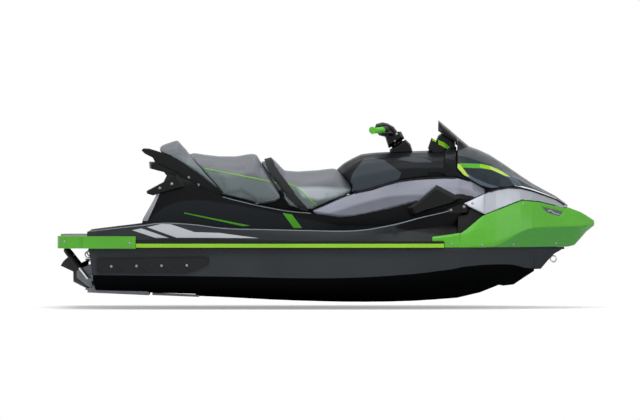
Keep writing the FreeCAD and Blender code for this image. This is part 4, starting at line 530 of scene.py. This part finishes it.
# joins a CAD mesh's loose triangles and shades all but its sharp edges smooth
def smoothGroup(angle):
    group = bpy.data.node_groups.new("smoothByAngle", "GeometryNodeTree")
    for way in ("INPUT", "OUTPUT"):
        group.interface.new_socket("Geometry", in_out=way, socket_type="NodeSocketGeometry")
    entry, leave, merge, smoothFaces, sharpEdges, edgeAngle, compare = (addNode(group, kind) for kind in (
        "NodeGroupInput", "NodeGroupOutput", "GeometryNodeMergeByDistance", "GeometryNodeSetShadeSmooth",
        "GeometryNodeSetShadeSmooth", "GeometryNodeInputMeshEdgeAngle", "FunctionNodeCompare"))
    merge.inputs["Distance"].default_value = edgeFinish["weld"]
    sharpEdges.domain = "EDGE"
    sharpEdges.inputs["Shade Smooth"].default_value = False
    compare.inputs[1].default_value = angle
    linkAll(group, (entry.outputs[0], merge.inputs["Geometry"]),
            (merge.outputs["Geometry"], smoothFaces.inputs["Geometry"]),
            (smoothFaces.outputs["Geometry"], sharpEdges.inputs["Geometry"]),
            (edgeAngle.outputs["Unsigned Angle"], compare.inputs[0]),
            (compare.outputs["Result"], sharpEdges.inputs["Selection"]),
            (sharpEdges.outputs["Geometry"], leave.inputs[0]))
    return group


# the solid is cut into even voxels and its surface smoothed, so that edges and joints of panels run softly
def softenEdges(item, voxel, rounds):
    remesh = item.modifiers.new("voxels", "REMESH")
    remesh.mode = "VOXEL"
    remesh.voxel_size = voxel
    relax = item.modifiers.new("relax", "SMOOTH")
    relax.factor = edgeFinish["relax"]
    relax.iterations = rounds


# loose triangles are welded, flat faces made whole, and the edges between them rounded
def breakEdges(item, width):
    item.modifiers.new("weld", "WELD").merge_threshold = edgeFinish["weld"]
    flat = item.modifiers.new("flat", "DECIMATE")
    flat.decimate_type = "DISSOLVE"
    flat.angle_limit = math.radians(edgeFinish["flatWithin"])
    bevel = item.modifiers.new("edges", "BEVEL")
    bevel.width = width
    bevel.segments = edgeFinish["segments"]
    bevel.limit_method = "ANGLE"
    bevel.angle_limit = math.radians(edgeFinish["bevelAbove"])
    bevel.miter_outer = "MITER_ARC"


smoothing = smoothGroup(math.radians(edgeFinish["smoothBelow"]))
for finish, names in finishNodes.items():
    for name in names:
        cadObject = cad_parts[name]
        cadObject.data.materials.clear()
        cadObject.data.materials.append(materials[finish])
        if name in softMouldings:
            softenEdges(cadObject, *softMouldings[name])
        elif name in brokenEdges:
            breakEdges(cadObject, brokenEdges[name])
        cadObject.modifiers.new("smooth", "NODES").node_group = smoothing
        cadObject.modifiers.new("weighted", "WEIGHTED_NORMAL").keep_sharp = True
print("CAD nodes finished")


def newObject(name, data):
    item = bpy.data.objects.new(name, data)
    bpy.context.scene.collection.objects.link(item)
    return item


# an object from arrays of points and of faces with as many corners each
def meshObject(name, points, quads, material, smooth=True):
    points = np.asarray(points, float).reshape(-1, 3)
    quads = np.asarray(quads, int)
    mesh = bpy.data.meshes.new(name)
    mesh.vertices.add(len(points))
    mesh.vertices.foreach_set("co", points.ravel())
    mesh.loops.add(quads.size)
    mesh.loops.foreach_set("vertex_index", quads.ravel())
    mesh.polygons.add(len(quads))
    mesh.polygons.foreach_set("loop_start", np.arange(len(quads)) * quads.shape[1])
    mesh.update(calc_edges=True)
    mesh.polygons.foreach_set("use_smooth", np.full(len(quads), smooth))
    mesh.materials.append(material)
    return newObject(name, mesh)


# a new piece on its body, with its finish
def addPiece(name, arrays, finish, body="craft", smooth=True):
    piece = meshObject(name, *arrays, materials[finish], smooth)
    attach(piece, body)
    return piece


# arrays for the starboard side, and the same mirrored to port, as one piece
def addBothSides(name, arrays, finish, body="craft"):
    return addPiece(name, joinArrays([arrays, mirrorArrays(*arrays)]), finish, body)


def readPoints(item):
    values = np.empty(len(item.data.vertices) * 3)
    item.data.vertices.foreach_get("co", values)
    return values.reshape(-1, 3)


def writePoints(item, points):
    item.data.vertices.foreach_set("co", np.ascontiguousarray(points, float).ravel())
    item.data.update()


# four-cornered faces between neighbours on a grid of points, closed on itself in either direction if wanted
def gridFaces(rows, columns, closeRows=False, closeColumns=False):
    index = np.arange(rows * columns).reshape(rows, columns)
    if closeRows:
        index = np.vstack([index, index[:1]])
    if closeColumns:
        index = np.hstack([index, index[:, :1]])
    return np.stack([index[:-1, :-1], index[:-1, 1:], index[1:, 1:], index[1:, :-1]], -1).reshape(-1, 4)


def joinArrays(parts):
    points, faces, offset = [], [], 0
    for p, f in parts:
        points.append(p)
        faces.append(f + offset)
        offset += len(p)
    return np.vstack(points), np.vstack(faces)


def mirrorArrays(points, faces):
    return points * (1, -1, 1), faces[:, ::-1]


# each round takes every value but the ends to the mean of itself and its two neighbours, weighted 2, 1 and 1
def evened(values, rounds):
    for _ in range(rounds):
        values[1:-1] = (values[:-2] + 2 * values[1:-1] + values[2:]) / 4
    return values


def unit(vectors):
    return vectors / np.linalg.norm(vectors, axis=-1, keepdims=True)


# ring(t) = cos t * first + sin t * second, for one pair of directions or for a pair at each station
def ringOf(first, second, count):
    t = np.linspace(0, 2 * np.pi, count, endpoint=False)[:, None]
    return np.cos(t) * np.asarray(first)[..., None, :] + np.sin(t) * np.asarray(second)[..., None, :]


# pixels evenly spread along a curve through the given ones (Catmull-Rom)
def smoothPath(pixels, count):
    p = np.array(pixels, float)
    p = np.vstack([2 * p[0] - p[1], p, 2 * p[-1] - p[-2]])
    t = np.linspace(0, len(pixels) - 1, count * 4)
    k = np.minimum(t.astype(int), len(pixels) - 2)
    u = (t - k)[:, None]
    a, b, c, d = p[k], p[k + 1], p[k + 2], p[k + 3]
    curve = 0.5 * (2 * b + (c - a) * u + (2 * a - 5 * b + 4 * c - d) * u ** 2
                   + (3 * b - a - 3 * c + d) * u ** 3)
    run = np.concatenate([[0], np.cumsum(np.linalg.norm(np.diff(curve, axis=0), axis=1))])
    even = np.linspace(0, run[-1], count)
    return np.stack([np.interp(even, run, column) for column in curve.T], -1)


# tube: path(s) + r (cos t * n + sin t * b), with n and b square to the path, closed by end caps
def tubeArrays(path, radius, sides=10):
    tangent = unit(np.gradient(path, axis=0))
    b = unit(np.cross(tangent, (0, 1, 0)))
    ring = ringOf(np.cross(b, tangent), b, sides)
    ends = np.stack([np.repeat(path[:1], sides, 0), np.repeat(path[-1:], sides, 0)])
    points = np.concatenate([ends[:1], path[:, None] + radius * ring, ends[1:]])
    return points.reshape(-1, 3), gridFaces(len(points), sides, closeColumns=True)


# something to cast rays at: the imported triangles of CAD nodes, or of finished pieces
def surfaceOf(*names):
    parts = []
    for name in names:
        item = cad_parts.get(name) or bpy.data.objects[name]
        item.data.calc_loop_triangles()
        triangles = np.empty(len(item.data.loop_triangles) * 3, int)
        item.data.loop_triangles.foreach_get("vertices", triangles)
        parts.append((readPoints(item), triangles.reshape(-1, 3)))
    points, triangles = joinArrays(parts)
    return BVHTree.FromPolygons(points.tolist(), triangles.tolist())


castFrom = {"far": 2.0, "near": 0.6}      # metres to starboard of the middle


def castAcross(surface, px, py):
    return surface.ray_cast(Vector((xAt(px), -castFrom["far"], zAt(py))), Vector((0, 1, 0)))[:2]


# where lines across the craft first meet a surface from starboard, as points and normals
def onSide(surface, pixels, out=0.0):
    hits, normals = [], []
    for px, py in pixels:
        spot, normal = castAcross(surface, px, py)
        if spot is None:
            spot, normal = surface.find_nearest(Vector((xAt(px), -castFrom["near"], zAt(py))))[:2]
        if normal.y > 0:
            normal = -normal
        hits.append(spot + normal * out)
        normals.append(normal)
    return np.array(hits), np.array(normals)


# padded seats, blown up from the solids they stand for: the skin is drawn in by "shrink", and no point then
# moves farther than "cap"
seatPads = {
    "rear_seat": {"cap": 0.010, "shrink": 0.003, "voxel": 0.007},
    "front_seat": {"cap": 0.010, "shrink": 0.003, "voxel": 0.007},
    "backrest": {"cap": 0.007, "shrink": 0.002, "voxel": 0.006},
}
padding = {"quickVoxel": 0.014, "roundsBefore": 6, "roundsAfter": 2, "pressure": 4, "moments": 20,
           "margin": 0.005}
seatVinyl = {
    "poreScale": 420, "poreStrength": 0.15, "poreDepth": 0.0003, "edgeSoft": 0.001, "paintedSheenSoft": 0.012,
    "topEdge": [(160, 150), (187, 158), (200.5, 167.5), (222, 171.8), (245, 176.4), (269, 181),
                (285.5, 183.5), (294, 184.6), (318, 186.4), (340, 186), (352, 190)],
    # painted sheen: a lighter patch on the front seat's side
    "paintedSheen": [(296, 186), (318, 187.5), (346, 186.6), (350, 190), (338, 197), (318, 200), (303, 197)],
}


def makeVinyl():
    material, tree, shader = moulded("seatVinyl", colours["seatSide"], rough=0.45, grain=700, depth=0.0003,
                                     specular=0.35)
    points = objectPoints(tree)
    side = belowLine(tree, points, seatVinyl["topEdge"], seatVinyl["edgeSoft"])
    overlay(tree, shader, reckon(tree, "SUBTRACT", 1.0, side), colours["seatTop"], rough=0.5)
    # painted sheen: the front seat's side lighter inside this outline
    paintedSheen = insideOutline(tree, points, seatVinyl["paintedSheen"], seatVinyl["paintedSheenSoft"])
    overlay(tree, shader, paintedSheen, colours["seatPaintedSheen"], rough=0.35)
    pores = addNode(tree, "ShaderNodeTexVoronoi")
    pores.inputs["Scale"].default_value = seatVinyl["poreScale"]
    tree.links.new(points, pores.inputs["Vector"])
    bumpOf(tree, shader, pores.outputs["Distance"], seatVinyl["poreStrength"], seatVinyl["poreDepth"])
    return material


def applyModifiers(item):
    shaped = item.evaluated_get(bpy.context.evaluated_depsgraph_get())
    mesh = bpy.data.meshes.new_from_object(shaped)
    item.modifiers.clear()
    item.data = mesh


# each round moves every point half way to the mean of its neighbours
def smoothPoints(item, points, rounds):
    edges = np.empty(len(item.data.edges) * 2, int)
    item.data.edges.foreach_get("vertices", edges)
    first, second = edges.reshape(-1, 2).T
    share = np.bincount(edges, minlength=len(points))[:, None]
    for _ in range(rounds):
        total = np.zeros_like(points)
        np.add.at(total, first, points[second])
        np.add.at(total, second, points[first])
        points = (points + total / share) / 2
    return points


# the solid is cut into even voxels and drawn in, then blown up as cloth, each point's move cut off at the cap
def padFrom(nodeName, values):
    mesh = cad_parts[nodeName].data.copy()
    mesh.name = nodeName + "_pad"
    pad = newObject(nodeName + "_pad", mesh)
    remesh = pad.modifiers.new("remesh", "REMESH")
    remesh.mode = "VOXEL"
    remesh.voxel_size = values["voxel"]
    remesh.use_smooth_shade = True
    applyModifiers(pad)
    low, high = (np.array(corner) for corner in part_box(nodeName))
    start = readPoints(pad)
    normals = np.empty(start.size)
    pad.data.vertices.foreach_get("normal", normals)
    rounded = smoothPoints(pad, start - normals.reshape(-1, 3) * values["shrink"], padding["roundsBefore"])
    writePoints(pad, rounded)
    cloth = pad.modifiers.new("cloth", "CLOTH")
    cloth.settings.use_pressure = True
    cloth.settings.uniform_pressure_force = padding["pressure"]
    cloth.settings.effector_weights.gravity = 0
    cloth.point_cache.frame_start, cloth.point_cache.frame_end = 1, padding["moments"]
    for moment in range(1, padding["moments"] + 1):
        bpy.context.scene.frame_set(moment)
    blown = readPoints(pad.evaluated_get(bpy.context.evaluated_depsgraph_get()))
    pad.modifiers.clear()
    bpy.context.scene.frame_set(1)
    move = blown - rounded
    far = np.linalg.norm(move, axis=1, keepdims=True)
    move *= np.minimum(1, values["cap"] / np.maximum(far, 1e-9))
    blown = smoothPoints(pad, rounded + move, padding["roundsAfter"])
    writePoints(pad, np.clip(blown, low - padding["margin"], high + padding["margin"]))
    pad.data.materials.clear()
    pad.data.materials.append(materials["seatVinyl"])
    finer = pad.modifiers.new("finer", "SUBSURF")
    finer.levels = finer.render_levels = 1
    pad.data.polygons.foreach_set("use_smooth", np.ones(len(pad.data.polygons), bool))
    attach(pad, "craft")
    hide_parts(nodeName)


materials["seatVinyl"] = makeVinyl()
for name, values in seatPads.items():
    padFrom(name, values)
print("seats padded")


# how lines are laid on a surface: "reach" and "step" in pixels, "outboard" in metres
lineSearch = {"sideRounds": 4, "edgeRounds": 8, "reach": 4.0, "step": 0.2, "outboard": 0.08}


# a smooth line through pixels, laid on a surface from starboard
def sideCurve(surface, values):
    path = smoothPath(values["pixels"], values["count"])
    return evened(onSide(surface, path)[0], lineSearch["sideRounds"])


# like sideCurve, but each place is looked for from above: the first height at which the ray meets the surface
def edgeCurve(surface, values):
    line = []
    for px, py in smoothPath(values["pixels"], values["count"]):
        for height in np.arange(py - lineSearch["reach"], py + lineSearch["reach"], lineSearch["step"]):
            spot = castAcross(surface, px, height)[0]
            if spot is not None and spot.y < -lineSearch["outboard"]:
                line.append((spot.x, spot.y, spot.z + values["lift"]))
                break
    return evened(np.array(line), lineSearch["edgeRounds"])


# trim carried along lines of the side view, on both sides of the craft: a line with a "lift" follows an edge
lineTrim = {
    # a light grey bead that stands in for the highlight along the glossy gunwale rim: painted highlight
    "gunwale_highlight_bead": {
        "on": "deck", "radius": 0.0034, "count": 150, "finish": "beadGrey", "slot": "silver_paint",
        "pixels": [(93, 231), (120, 227.7), (146, 224.9), (162, 222.9), (180, 223.2), (200, 224.9),
                   (226, 228.2), (260, 229.1), (300, 230), (342, 230.8), (364, 229.6), (382, 226.6),
                   (400, 222.9), (420, 217.4), (444, 211.9), (455, 208)],
    },
    "fairing_welt": {
        "on": "side_fairings", "radius": 0.0045, "count": 90, "finish": "blackRubber", "slot": "rail_rubber",
        "lift": 0.003,
        "pixels": [(354.7, 192.6), (366, 189.8), (381, 186.2), (403, 181.2), (428, 178.7), (440, 178.4),
                   (455, 179.8)],
    },
    "fender_welt": {
        "on": "fenders", "radius": 0.0045, "count": 90, "finish": "blackRubber", "slot": "rail_rubber",
        "lift": 0.003,
        "pixels": [(489, 192), (500, 189.2), (514.5, 187.8), (521.6, 189.8), (540, 195.2), (554.6, 200.6),
                   (564, 207.6)],
    },
    "seat_base_bead": {
        "on": "seat_pedestal", "radius": 0.0028, "count": 60, "finish": "beadGrey", "slot": "silver_paint",
        "pixels": [(223, 197.2), (236, 200.6), (250, 204), (265, 207.3), (288, 211.4), (311, 213.6)],
    },
    "rear_seat_piping": {
        "on": "rear_seat_pad", "radius": 0.0032, "count": 60, "finish": "pipingGreen",
        "slot": "green_plastic",
        "pixels": [(205, 168.9), (212, 170.3), (222, 172.2), (245, 176.8), (262, 180.2), (270.6, 182)],
    },
    "bolster_piping": {
        "on": "front_seat_pad", "radius": 0.0032, "count": 12, "finish": "pipingGreen",
        "slot": "green_plastic",
        "pixels": [(274.6, 182.8), (276, 183.1), (277.6, 183.4)],
    },
    "front_seat_piping": {
        "on": "front_seat_pad", "radius": 0.0032, "count": 50, "finish": "pipingGreen",
        "slot": "green_plastic",
        "pixels": [(286.5, 184.2), (291, 185), (295, 186.6), (299.6, 190), (309, 199), (318.6, 207.6)],
    },
    "rear_seat_welt": {
        "on": "rear_seat_pad", "radius": 0.0022, "count": 60, "finish": "weltGrey", "slot": "seat_vinyl",
        "pixels": [(253.4, 158.4), (257.4, 164.4), (266, 177), (277, 193), (278.2, 196.6), (274.4, 199.6),
                   (266, 201)],
    },
    "lamp_strips": {
        "on": "bow_lamps", "radius": 0.0028, "count": 24, "finish": "lampStrip", "slot": "lamp_lens",
        "pixels": [(547, 211.6), (549.8, 210.4), (552, 212.4), (554.4, 213.8), (558.6, 214.6)],
    },
}
for name, values in lineTrim.items():
    line = (edgeCurve if "lift" in values else sideCurve)(surfaceOf(values["on"]), values)
    addBothSides(name, tubeArrays(line, values["radius"]), values["finish"])
print("lines trimmed")

# screws and bolts: a profile of radius and height, in shares of the stud's radius, turned about the normal
studs = {
    "sponson_bolts": {
        "on": "sponsons", "radius": 0.0065,
        "pixels": [(113, 265.6), (138, 265.2), (163, 264.9), (188, 264.6)],
    },
    "stern_bumper_screws": {
        "on": "stern_bumpers", "radius": 0.007,
        "pixels": [(66, 241.1), (130.9, 242.9)],
    },
    "bow_bumper_screws": {
        "on": "bow_bumper", "radius": 0.0058,
        "pixels": [(522.8, 203.9), (451.2, 243.8), (480.6, 244.4), (512.3, 244.2), (555.5, 243.4)],
    },
    "fender_screws": {"on": "fenders", "radius": 0.0065, "pixels": [(471.5, 203.2)]},
    "wing_bolts": {"on": "seat_wings", "radius": 0.0075, "pixels": [(172.5, 184.4), (160.5, 188.6)]},
    "handle_bolts": {"on": "grab_handle", "radius": 0.007, "pixels": [(189.2, 178.2), (199, 185.4)]},
    "cleat_bolts": {"on": "cleats", "radius": 0.007, "pixels": [(450, 209.8), (463, 206.6)]},
    "cover_bolts": {
        "on": "handlebar_cover", "radius": 0.007, "body": "handlebar_assembly",
        "pixels": [(396.6, 134.9), (394.8, 142)],
    },
    "step_bolts": {"on": "step_brackets", "radius": 0.008, "pixels": [(92, 275.2), (92, 285)]},
}
studProfile = np.array([(0.0, 0.30), (0.34, 0.30), (0.42, 0.74), (0.70, 0.68), (0.95, 0.36), (1.05, 0.12),
                        (1.35, 0.12), (1.40, -0.6)])


# stud: spot + r (cos t * u + sin t * v) + h * normal, for the profile's r and h
def studArrays(spots, normals, radius, sides=20):
    u = unit(np.cross(normals, (0.3, 0, 1.0)))
    ring = ringOf(u, np.cross(normals, u), sides)
    r, h = studProfile.T * radius
    points = (spots[:, None, None] + r[None, :, None, None] * ring[:, None]
              + h[None, :, None, None] * normals[:, None, None])
    faces = gridFaces(len(r), sides, closeColumns=True)
    every = faces[None] + (np.arange(len(spots)) * len(r) * sides)[:, None, None]
    return points.reshape(-1, 3), every.reshape(-1, 4)


for name, values in studs.items():
    spots, normals = onSide(surfaceOf(values["on"]), values["pixels"])
    addBothSides(name, studArrays(spots, normals, values["radius"]), "boltSteel",
                 values.get("body", "craft"))
print("screws set")


# prism of a side-view outline from y = -half to y = half, its end faces drawn in to their middles
def prismArrays(outline, half):
    flat = np.array([(xAt(px), 0, zAt(py)) for px, py in outline])
    middle = np.broadcast_to(flat.mean(0), flat.shape)
    rows = [middle - (0, half, 0), flat - (0, half, 0), flat + (0, half, 0), middle + (0, half, 0)]
    return np.concatenate(rows), gridFaces(4, len(flat), closeColumns=True)


# dark fillers: the liner that closes the console's foot behind the front seat's nose, and the foot of the
# wind deflector between its blade and the hood
fillers = {
    "console_liner": {
        "half": 0.105, "body": "craft", "slot": "black_plastic",
        "outline": [(343, 174), (348, 173.2), (353, 183), (357.5, 191), (352, 195), (343, 194)],
    },
    "deflector_foot": {
        "half": 0.055, "body": "hood_lid", "slot": "smoked_screen",
        "outline": [(455.0, 138.2), (458, 140.0), (463.5, 145.4), (461, 146.6), (457, 146.0),
                    (455.4, 145.2)],
    },
}
for name, values in fillers.items():
    addPiece(name, prismArrays(values["outline"], values["half"]), "blackPlastic",
             values["body"], smooth=False)

# the strap's webbing laid over the padding, between two edge lines
webbing = {
    "left": [(262.6, 168.6), (270.6, 181.9), (286, 196.4), (301.6, 210.2)],
    "right": [(276.4, 168.2), (285.4, 183.0), (296.4, 196.0), (308.4, 209.4)],
    "along": 44, "across": 9, "out": 0.0035, "thick": 0.003, "rounds": 6, "clear": 0.001,
}


# webbing(s, t) = where the ray through left(s) (1 - t) + right(s) t meets the padding, moved out and evened
def webArrays(surface):
    left, right = (smoothPath(webbing[side], webbing["along"])[:, None] for side in ("left", "right"))
    share = np.linspace(0, 1, webbing["across"])[None, :, None]
    flat = (left * (1 - share) + right * share).reshape(-1, 2)
    points = onSide(surface, flat, webbing["out"])[0].reshape(webbing["along"], webbing["across"], 3)
    for _ in range(webbing["rounds"]):
        evened(points, 1)
        evened(points.swapaxes(0, 1), 1)
    points[..., 1] -= webbing["clear"]
    return points.reshape(-1, 3), gridFaces(webbing["along"], webbing["across"])


web = addBothSides("strap_webbing", webArrays(surfaceOf("front_seat_pad")), "strapWeb")
thicken = web.modifiers.new("thicken", "SOLIDIFY")
thicken.thickness = webbing["thick"]
thicken.offset = 0.0
print("liner and webbing made")


# rubber lip on the walls round the storage opening, a set way inside the hood's edge and below its skin
hoodRim = {
    "fromPixel": 455.2, "toPixel": 559, "stations": 70,       # along each side
    "rearPixel": 456.5, "probePixel": 458.5, "rearStations": 41,
    "inside": 0.032, "narrowest": 0.012, "clear": 0.011, "thick": 0.010, "sink": 0.001,
    "skin": 0.003, "below": 0.004,      # how far under a hit the next ray starts, in the hood and under it
    "search": (0.01, 0.36, 71), "sideRounds": 14, "rearRounds": 4,
}
lipProfile = np.array([(-0.5, 0, 0), (-0.5, 1, -0.5), (-0.2, 1, -0.05), (0.2, 1, -0.05), (0.5, 1, -0.5),
                       (0.5, 0, 0)])


# height at which a ray straight down meets a surface
def fall(surface, x, y, top=1.5):
    spot = surface.ray_cast(Vector((x, y, top)), Vector((0, 0, -1)))[0]
    return None if spot is None else spot.z


def underside(surface, x, y):
    top = fall(surface, x, y)
    return None if top is None else fall(surface, x, y, top - hoodRim["skin"])


# from the hood's half width at x: x, the lip's place across, its top and its foot
def hoodSection(hood, floor, x):
    wide = [y for y in np.linspace(*hoodRim["search"]) if fall(hood, x, y) is not None]
    if not wide:
        return None
    y = max(wide[-1] - hoodRim["inside"], hoodRim["narrowest"])
    under = underside(hood, x, y)
    foot = fall(floor, x, y, under - hoodRim["below"]) if under else None
    return None if foot is None else (x, y, under - hoodRim["clear"], foot - hoodRim["sink"])


# lip: a flat strip set on edge, its section a box with a rounded top, carried along (along, across)
def lipArrays(along, across, top, foot):
    way = unit(np.gradient(np.stack([along, across], -1), axis=0))
    side = np.stack([way[:, 1], -way[:, 0]], -1)
    wide, up, rise = (lipProfile[None, :, i] for i in range(3))
    x = along[:, None] + side[:, :1] * (wide * hoodRim["thick"])
    y = across[:, None] + side[:, 1:] * (wide * hoodRim["thick"])
    z = foot[:, None] + (top - foot)[:, None] * up + rise * hoodRim["thick"]
    points = np.stack([x, y, z], -1)
    ends = [np.broadcast_to(p.mean(0), p.shape)[None] for p in (points[0], points[-1])]
    points = np.concatenate([ends[0], points, ends[1]])
    return points.reshape(-1, 3), gridFaces(len(points), points.shape[1], closeColumns=True)


def hoodLip():
    hood = surfaceOf("hatch")
    floor = surfaceOf("deck", "storage_bin", "side_fairings", "console", "fenders", "seat_pedestal")
    places = np.linspace(hoodRim["fromPixel"], hoodRim["toPixel"], hoodRim["stations"])
    rows = [row for row in (hoodSection(hood, floor, xAt(px)) for px in places) if row]
    x, y, top, foot = np.array(rows).T
    x = np.concatenate([[xAt(hoodRim["fromPixel"])], x])
    y, top, foot = (evened(np.concatenate([v[:1], v]), hoodRim["sideRounds"]) for v in (y, top, foot))
    side = lipArrays(x, y, top, foot)
    # across the rear, where rays are cast a little ahead of the lip
    cross = np.linspace(-y[0], y[0], hoodRim["rearStations"])
    rear, probe = (np.full(len(cross), xAt(hoodRim[key])) for key in ("rearPixel", "probePixel"))
    ceiling = np.array([underside(hood, at, c) or top[0] for at, c in zip(probe, cross)]) - hoodRim["clear"]
    level = np.array([fall(floor, at, c, h - hoodRim["below"]) or foot[0]
                      for at, c, h in zip(probe, cross, ceiling)])
    back = lipArrays(rear, cross, evened(ceiling, hoodRim["rearRounds"]), level)
    addPiece("hood_lip", joinArrays([side, mirrorArrays(*side), back]), "blackRubber",
             smooth=False)


# rubber washer in the turning gap between the steering column and the handlebar cover
washer = {"origin": (0.75625, 0, 0.70881), "axis": (-0.53277, 0, 0.84626), "height": 0.080, "probe": 0.038,
          "inner": 0.024, "outer": 0.043, "play": 0.001, "edge": 0.002, "turns": 16, "stations": 48}


# washer(t, p) = start + h(p) axis + r(p) (cos t ahead + sin t sideways), p going round a rounded box
def steeringWasher():
    axis = Vector(washer["axis"]).normalized()
    sideways = Vector((0, 1, 0))
    ahead = sideways.cross(axis)
    start = Vector(washer["origin"]) + axis * washer["height"]
    column, cover = surfaceOf("steering_column"), surfaceOf("handlebar_cover")
    lows, highs = [], []
    for turn in np.linspace(0, 2 * np.pi, washer["turns"], endpoint=False):
        spot = start + (ahead * math.cos(turn) + sideways * math.sin(turn)) * washer["probe"]
        down, up = column.ray_cast(spot, -axis)[3], cover.ray_cast(spot, axis)[3]
        lows += [-down] if down is not None else []
        highs += [up] if up is not None else []
    low, high = max(lows), min(highs) - washer["play"]
    inner, outer, edge = washer["inner"], washer["outer"], min(washer["edge"], (high - low) / 4)
    section = np.array([(inner, low), (outer - edge, low), (outer, low + edge), (outer, high - edge),
                        (outer - edge, high), (inner, high)])
    ring = ringOf(ahead, sideways, washer["stations"])
    points = np.array(start) + section[None, :, 1:] * np.array(axis) + section[None, :, :1] * ring[:, None]
    faces = gridFaces(len(ring), len(section), True, True)
    addPiece("steering_washer", (points, faces), "blackRubber", smooth=False)


# ringed rubber sleeves over the grips
gripSleeve = {"way": (-0.515, -0.857, -0.03), "end": 0.0065, "radius": 0.0186, "wave": 0.0009, "pitch": 0.006,
              "stations": 120, "sides": 28, "endRadius": 0.012, "slice": 0.001}


# sleeve(s, t) = start + s way + (r + a cos(2 pi s / pitch)) (cos t u + sin t w), drawn in at both ends
def gripSleeves():
    v = gripSleeve
    points = readPoints(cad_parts["grips"])
    points = points[points[:, 1] < 0]
    way = unit(np.array(v["way"]))
    along = points @ way
    first, last = (np.unique(points[mask].round(5), axis=0).mean(0) for mask in
                   (along < along.min() + v["slice"], along > along.max() - v["slice"]))
    way = unit(last - first)
    s = np.linspace(v["end"], np.linalg.norm(last - first) - v["end"], v["stations"])
    r = v["radius"] + v["wave"] * np.cos(2 * np.pi * s / v["pitch"])
    s, r = np.concatenate([s[:1], s, s[-1:]]), np.concatenate([[v["endRadius"]], r, [v["endRadius"]]])
    u = unit(np.cross(way, (0, 0, 1.0)))
    ring = ringOf(u, np.cross(way, u), v["sides"])
    sleeve = first + s[:, None, None] * way + r[:, None, None] * ring
    faces = gridFaces(len(s), v["sides"], closeColumns=True)
    addBothSides("grip_sleeves", (sleeve.reshape(-1, 3), faces), "gripGreen",
                 "handlebar_assembly")


hoodLip()
steeringWasher()
gripSleeves()
print("seals made")

# stage, light and camera
stageValues = {"floorGap": 0.040, "floorSize": 60.0, "floorTone": 0.92, "floorRough": 0.9, "nearFade": 2.2,
               "farFade": 4.0, "glow": 0.32, "worldStrength": 0.38}
lamps = {
    "key": {"at": (-1.5, -5.0, 5.5), "towards": (0, 0, 0.2), "size": (5, 3), "power": 170},
    "fill": {"at": (5.5, -4.0, 3.0), "towards": (0.5, 0, 0.2), "size": (3, 3), "power": 60},
    "top": {"at": (0.0, -0.6, 6.0), "towards": (0, 0, 0.2), "size": (6, 3), "power": 190},
}


# 1 for the rays that show the background itself: to the camera, off gloss and through glass
def backgroundRays(tree):
    path = addNode(tree, "ShaderNodeLightPath")
    shown = reckon(tree, "MAXIMUM", path.outputs["Is Camera Ray"], path.outputs["Is Glossy Ray"])
    return reckon(tree, "MAXIMUM", shown, path.outputs["Is Transmission Ray"])


# a pale floor that keeps the craft's shadow near by and turns plain white farther off
def makeStage():
    z = cadBox[0][2] - stageValues["floorGap"]
    size = stageValues["floorSize"]
    material, tree, shader = newMaterial("paleFloor")
    plug(tree, (stageValues["floorTone"],) * 3, shader.inputs["Base Color"])
    plug(tree, stageValues["floorRough"], shader.inputs["Roughness"])
    plug(tree, 0.0, shader.inputs["Specular IOR Level"])
    x, y, _ = axes(tree, objectPoints(tree))
    squares = [reckon(tree, "POWER", value, 2.0) for value in (x, y)]
    reach = reckon(tree, "SQRT", reckon(tree, "ADD", *squares))
    fade = rescale(tree, reach, stageValues["nearFade"], stageValues["farFade"])
    shown = backgroundRays(tree)
    glow, white = (addNode(tree, "ShaderNodeEmission") for _ in range(2))
    plug(tree, reckon(tree, "MULTIPLY", shown, stageValues["glow"]), glow.inputs["Strength"])
    total, mix = addNode(tree, "ShaderNodeAddShader"), addNode(tree, "ShaderNodeMixShader")
    linkAll(tree, (shader.outputs[0], total.inputs[0]), (glow.outputs[0], total.inputs[1]),
            (bothOf(tree, shown, fade), mix.inputs["Fac"]), (total.outputs[0], mix.inputs[1]),
            (white.outputs[0], mix.inputs[2]),
            (mix.outputs[0], tree.nodes["Material Output"].inputs["Surface"]))
    corners = np.array([(-size, -size, z), (size, -size, z), (size, size, z), (-size, size, z)])
    meshObject("floor", corners, [[0, 1, 2, 3]], material, False)


def areaLight(name, values):
    data = bpy.data.lights.new(name, "AREA")
    data.shape = "RECTANGLE"
    data.size, data.size_y = values["size"]
    data.energy = values["power"]
    lamp = newObject(name, data)
    lamp.location = values["at"]
    way = Vector(values["towards"]) - Vector(values["at"])
    lamp.rotation_euler = way.to_track_quat("-Z", "Y").to_euler()


def makeWorld():
    world = bpy.data.worlds.new("studio")
    bpy.context.scene.world = world
    world.use_nodes = True
    tree = world.node_tree
    tree.nodes.clear()
    lit, white = (addNode(tree, "ShaderNodeBackground") for _ in range(2))
    for node, strength in ((lit, stageValues["worldStrength"]), (white, 1.0)):
        plug(tree, (1.0, 1.0, 1.0), node.inputs["Color"])
        plug(tree, strength, node.inputs["Strength"])
    mix, output = addNode(tree, "ShaderNodeMixShader"), addNode(tree, "ShaderNodeOutputWorld")
    linkAll(tree, (backgroundRays(tree), mix.inputs["Fac"]), (lit.outputs[0], mix.inputs[1]),
            (white.outputs[0], mix.inputs[2]), (mix.outputs[0], output.inputs["Surface"]))


def makeCamera():
    width, height = photoView["imageSize"]
    centre = Vector((xAt(width / 2), 0, zAt(height / 2) - photoView["lift"]))
    tilt = math.radians(photoView["elevation"])
    way = Vector((0, -math.cos(tilt), math.sin(tilt)))
    data = bpy.data.cameras.new("camera")
    camera = newObject("camera", data)
    data.sensor_width = photoView["sensor"]
    data.lens = data.sensor_width * photoView["distance"] / (width * photoView["metresPerPixel"])
    data.clip_end = photoView["clipEnd"]
    camera.location = centre + way * photoView["distance"]
    camera.rotation_euler = (-way).to_track_quat("-Z", "Y").to_euler()
    bpy.context.scene.camera = camera


makeStage()
makeWorld()
for name, values in lamps.items():
    areaLight(name, values)
makeCamera()
bpy.context.scene.view_settings.view_transform = "Standard"
print("stage ready")
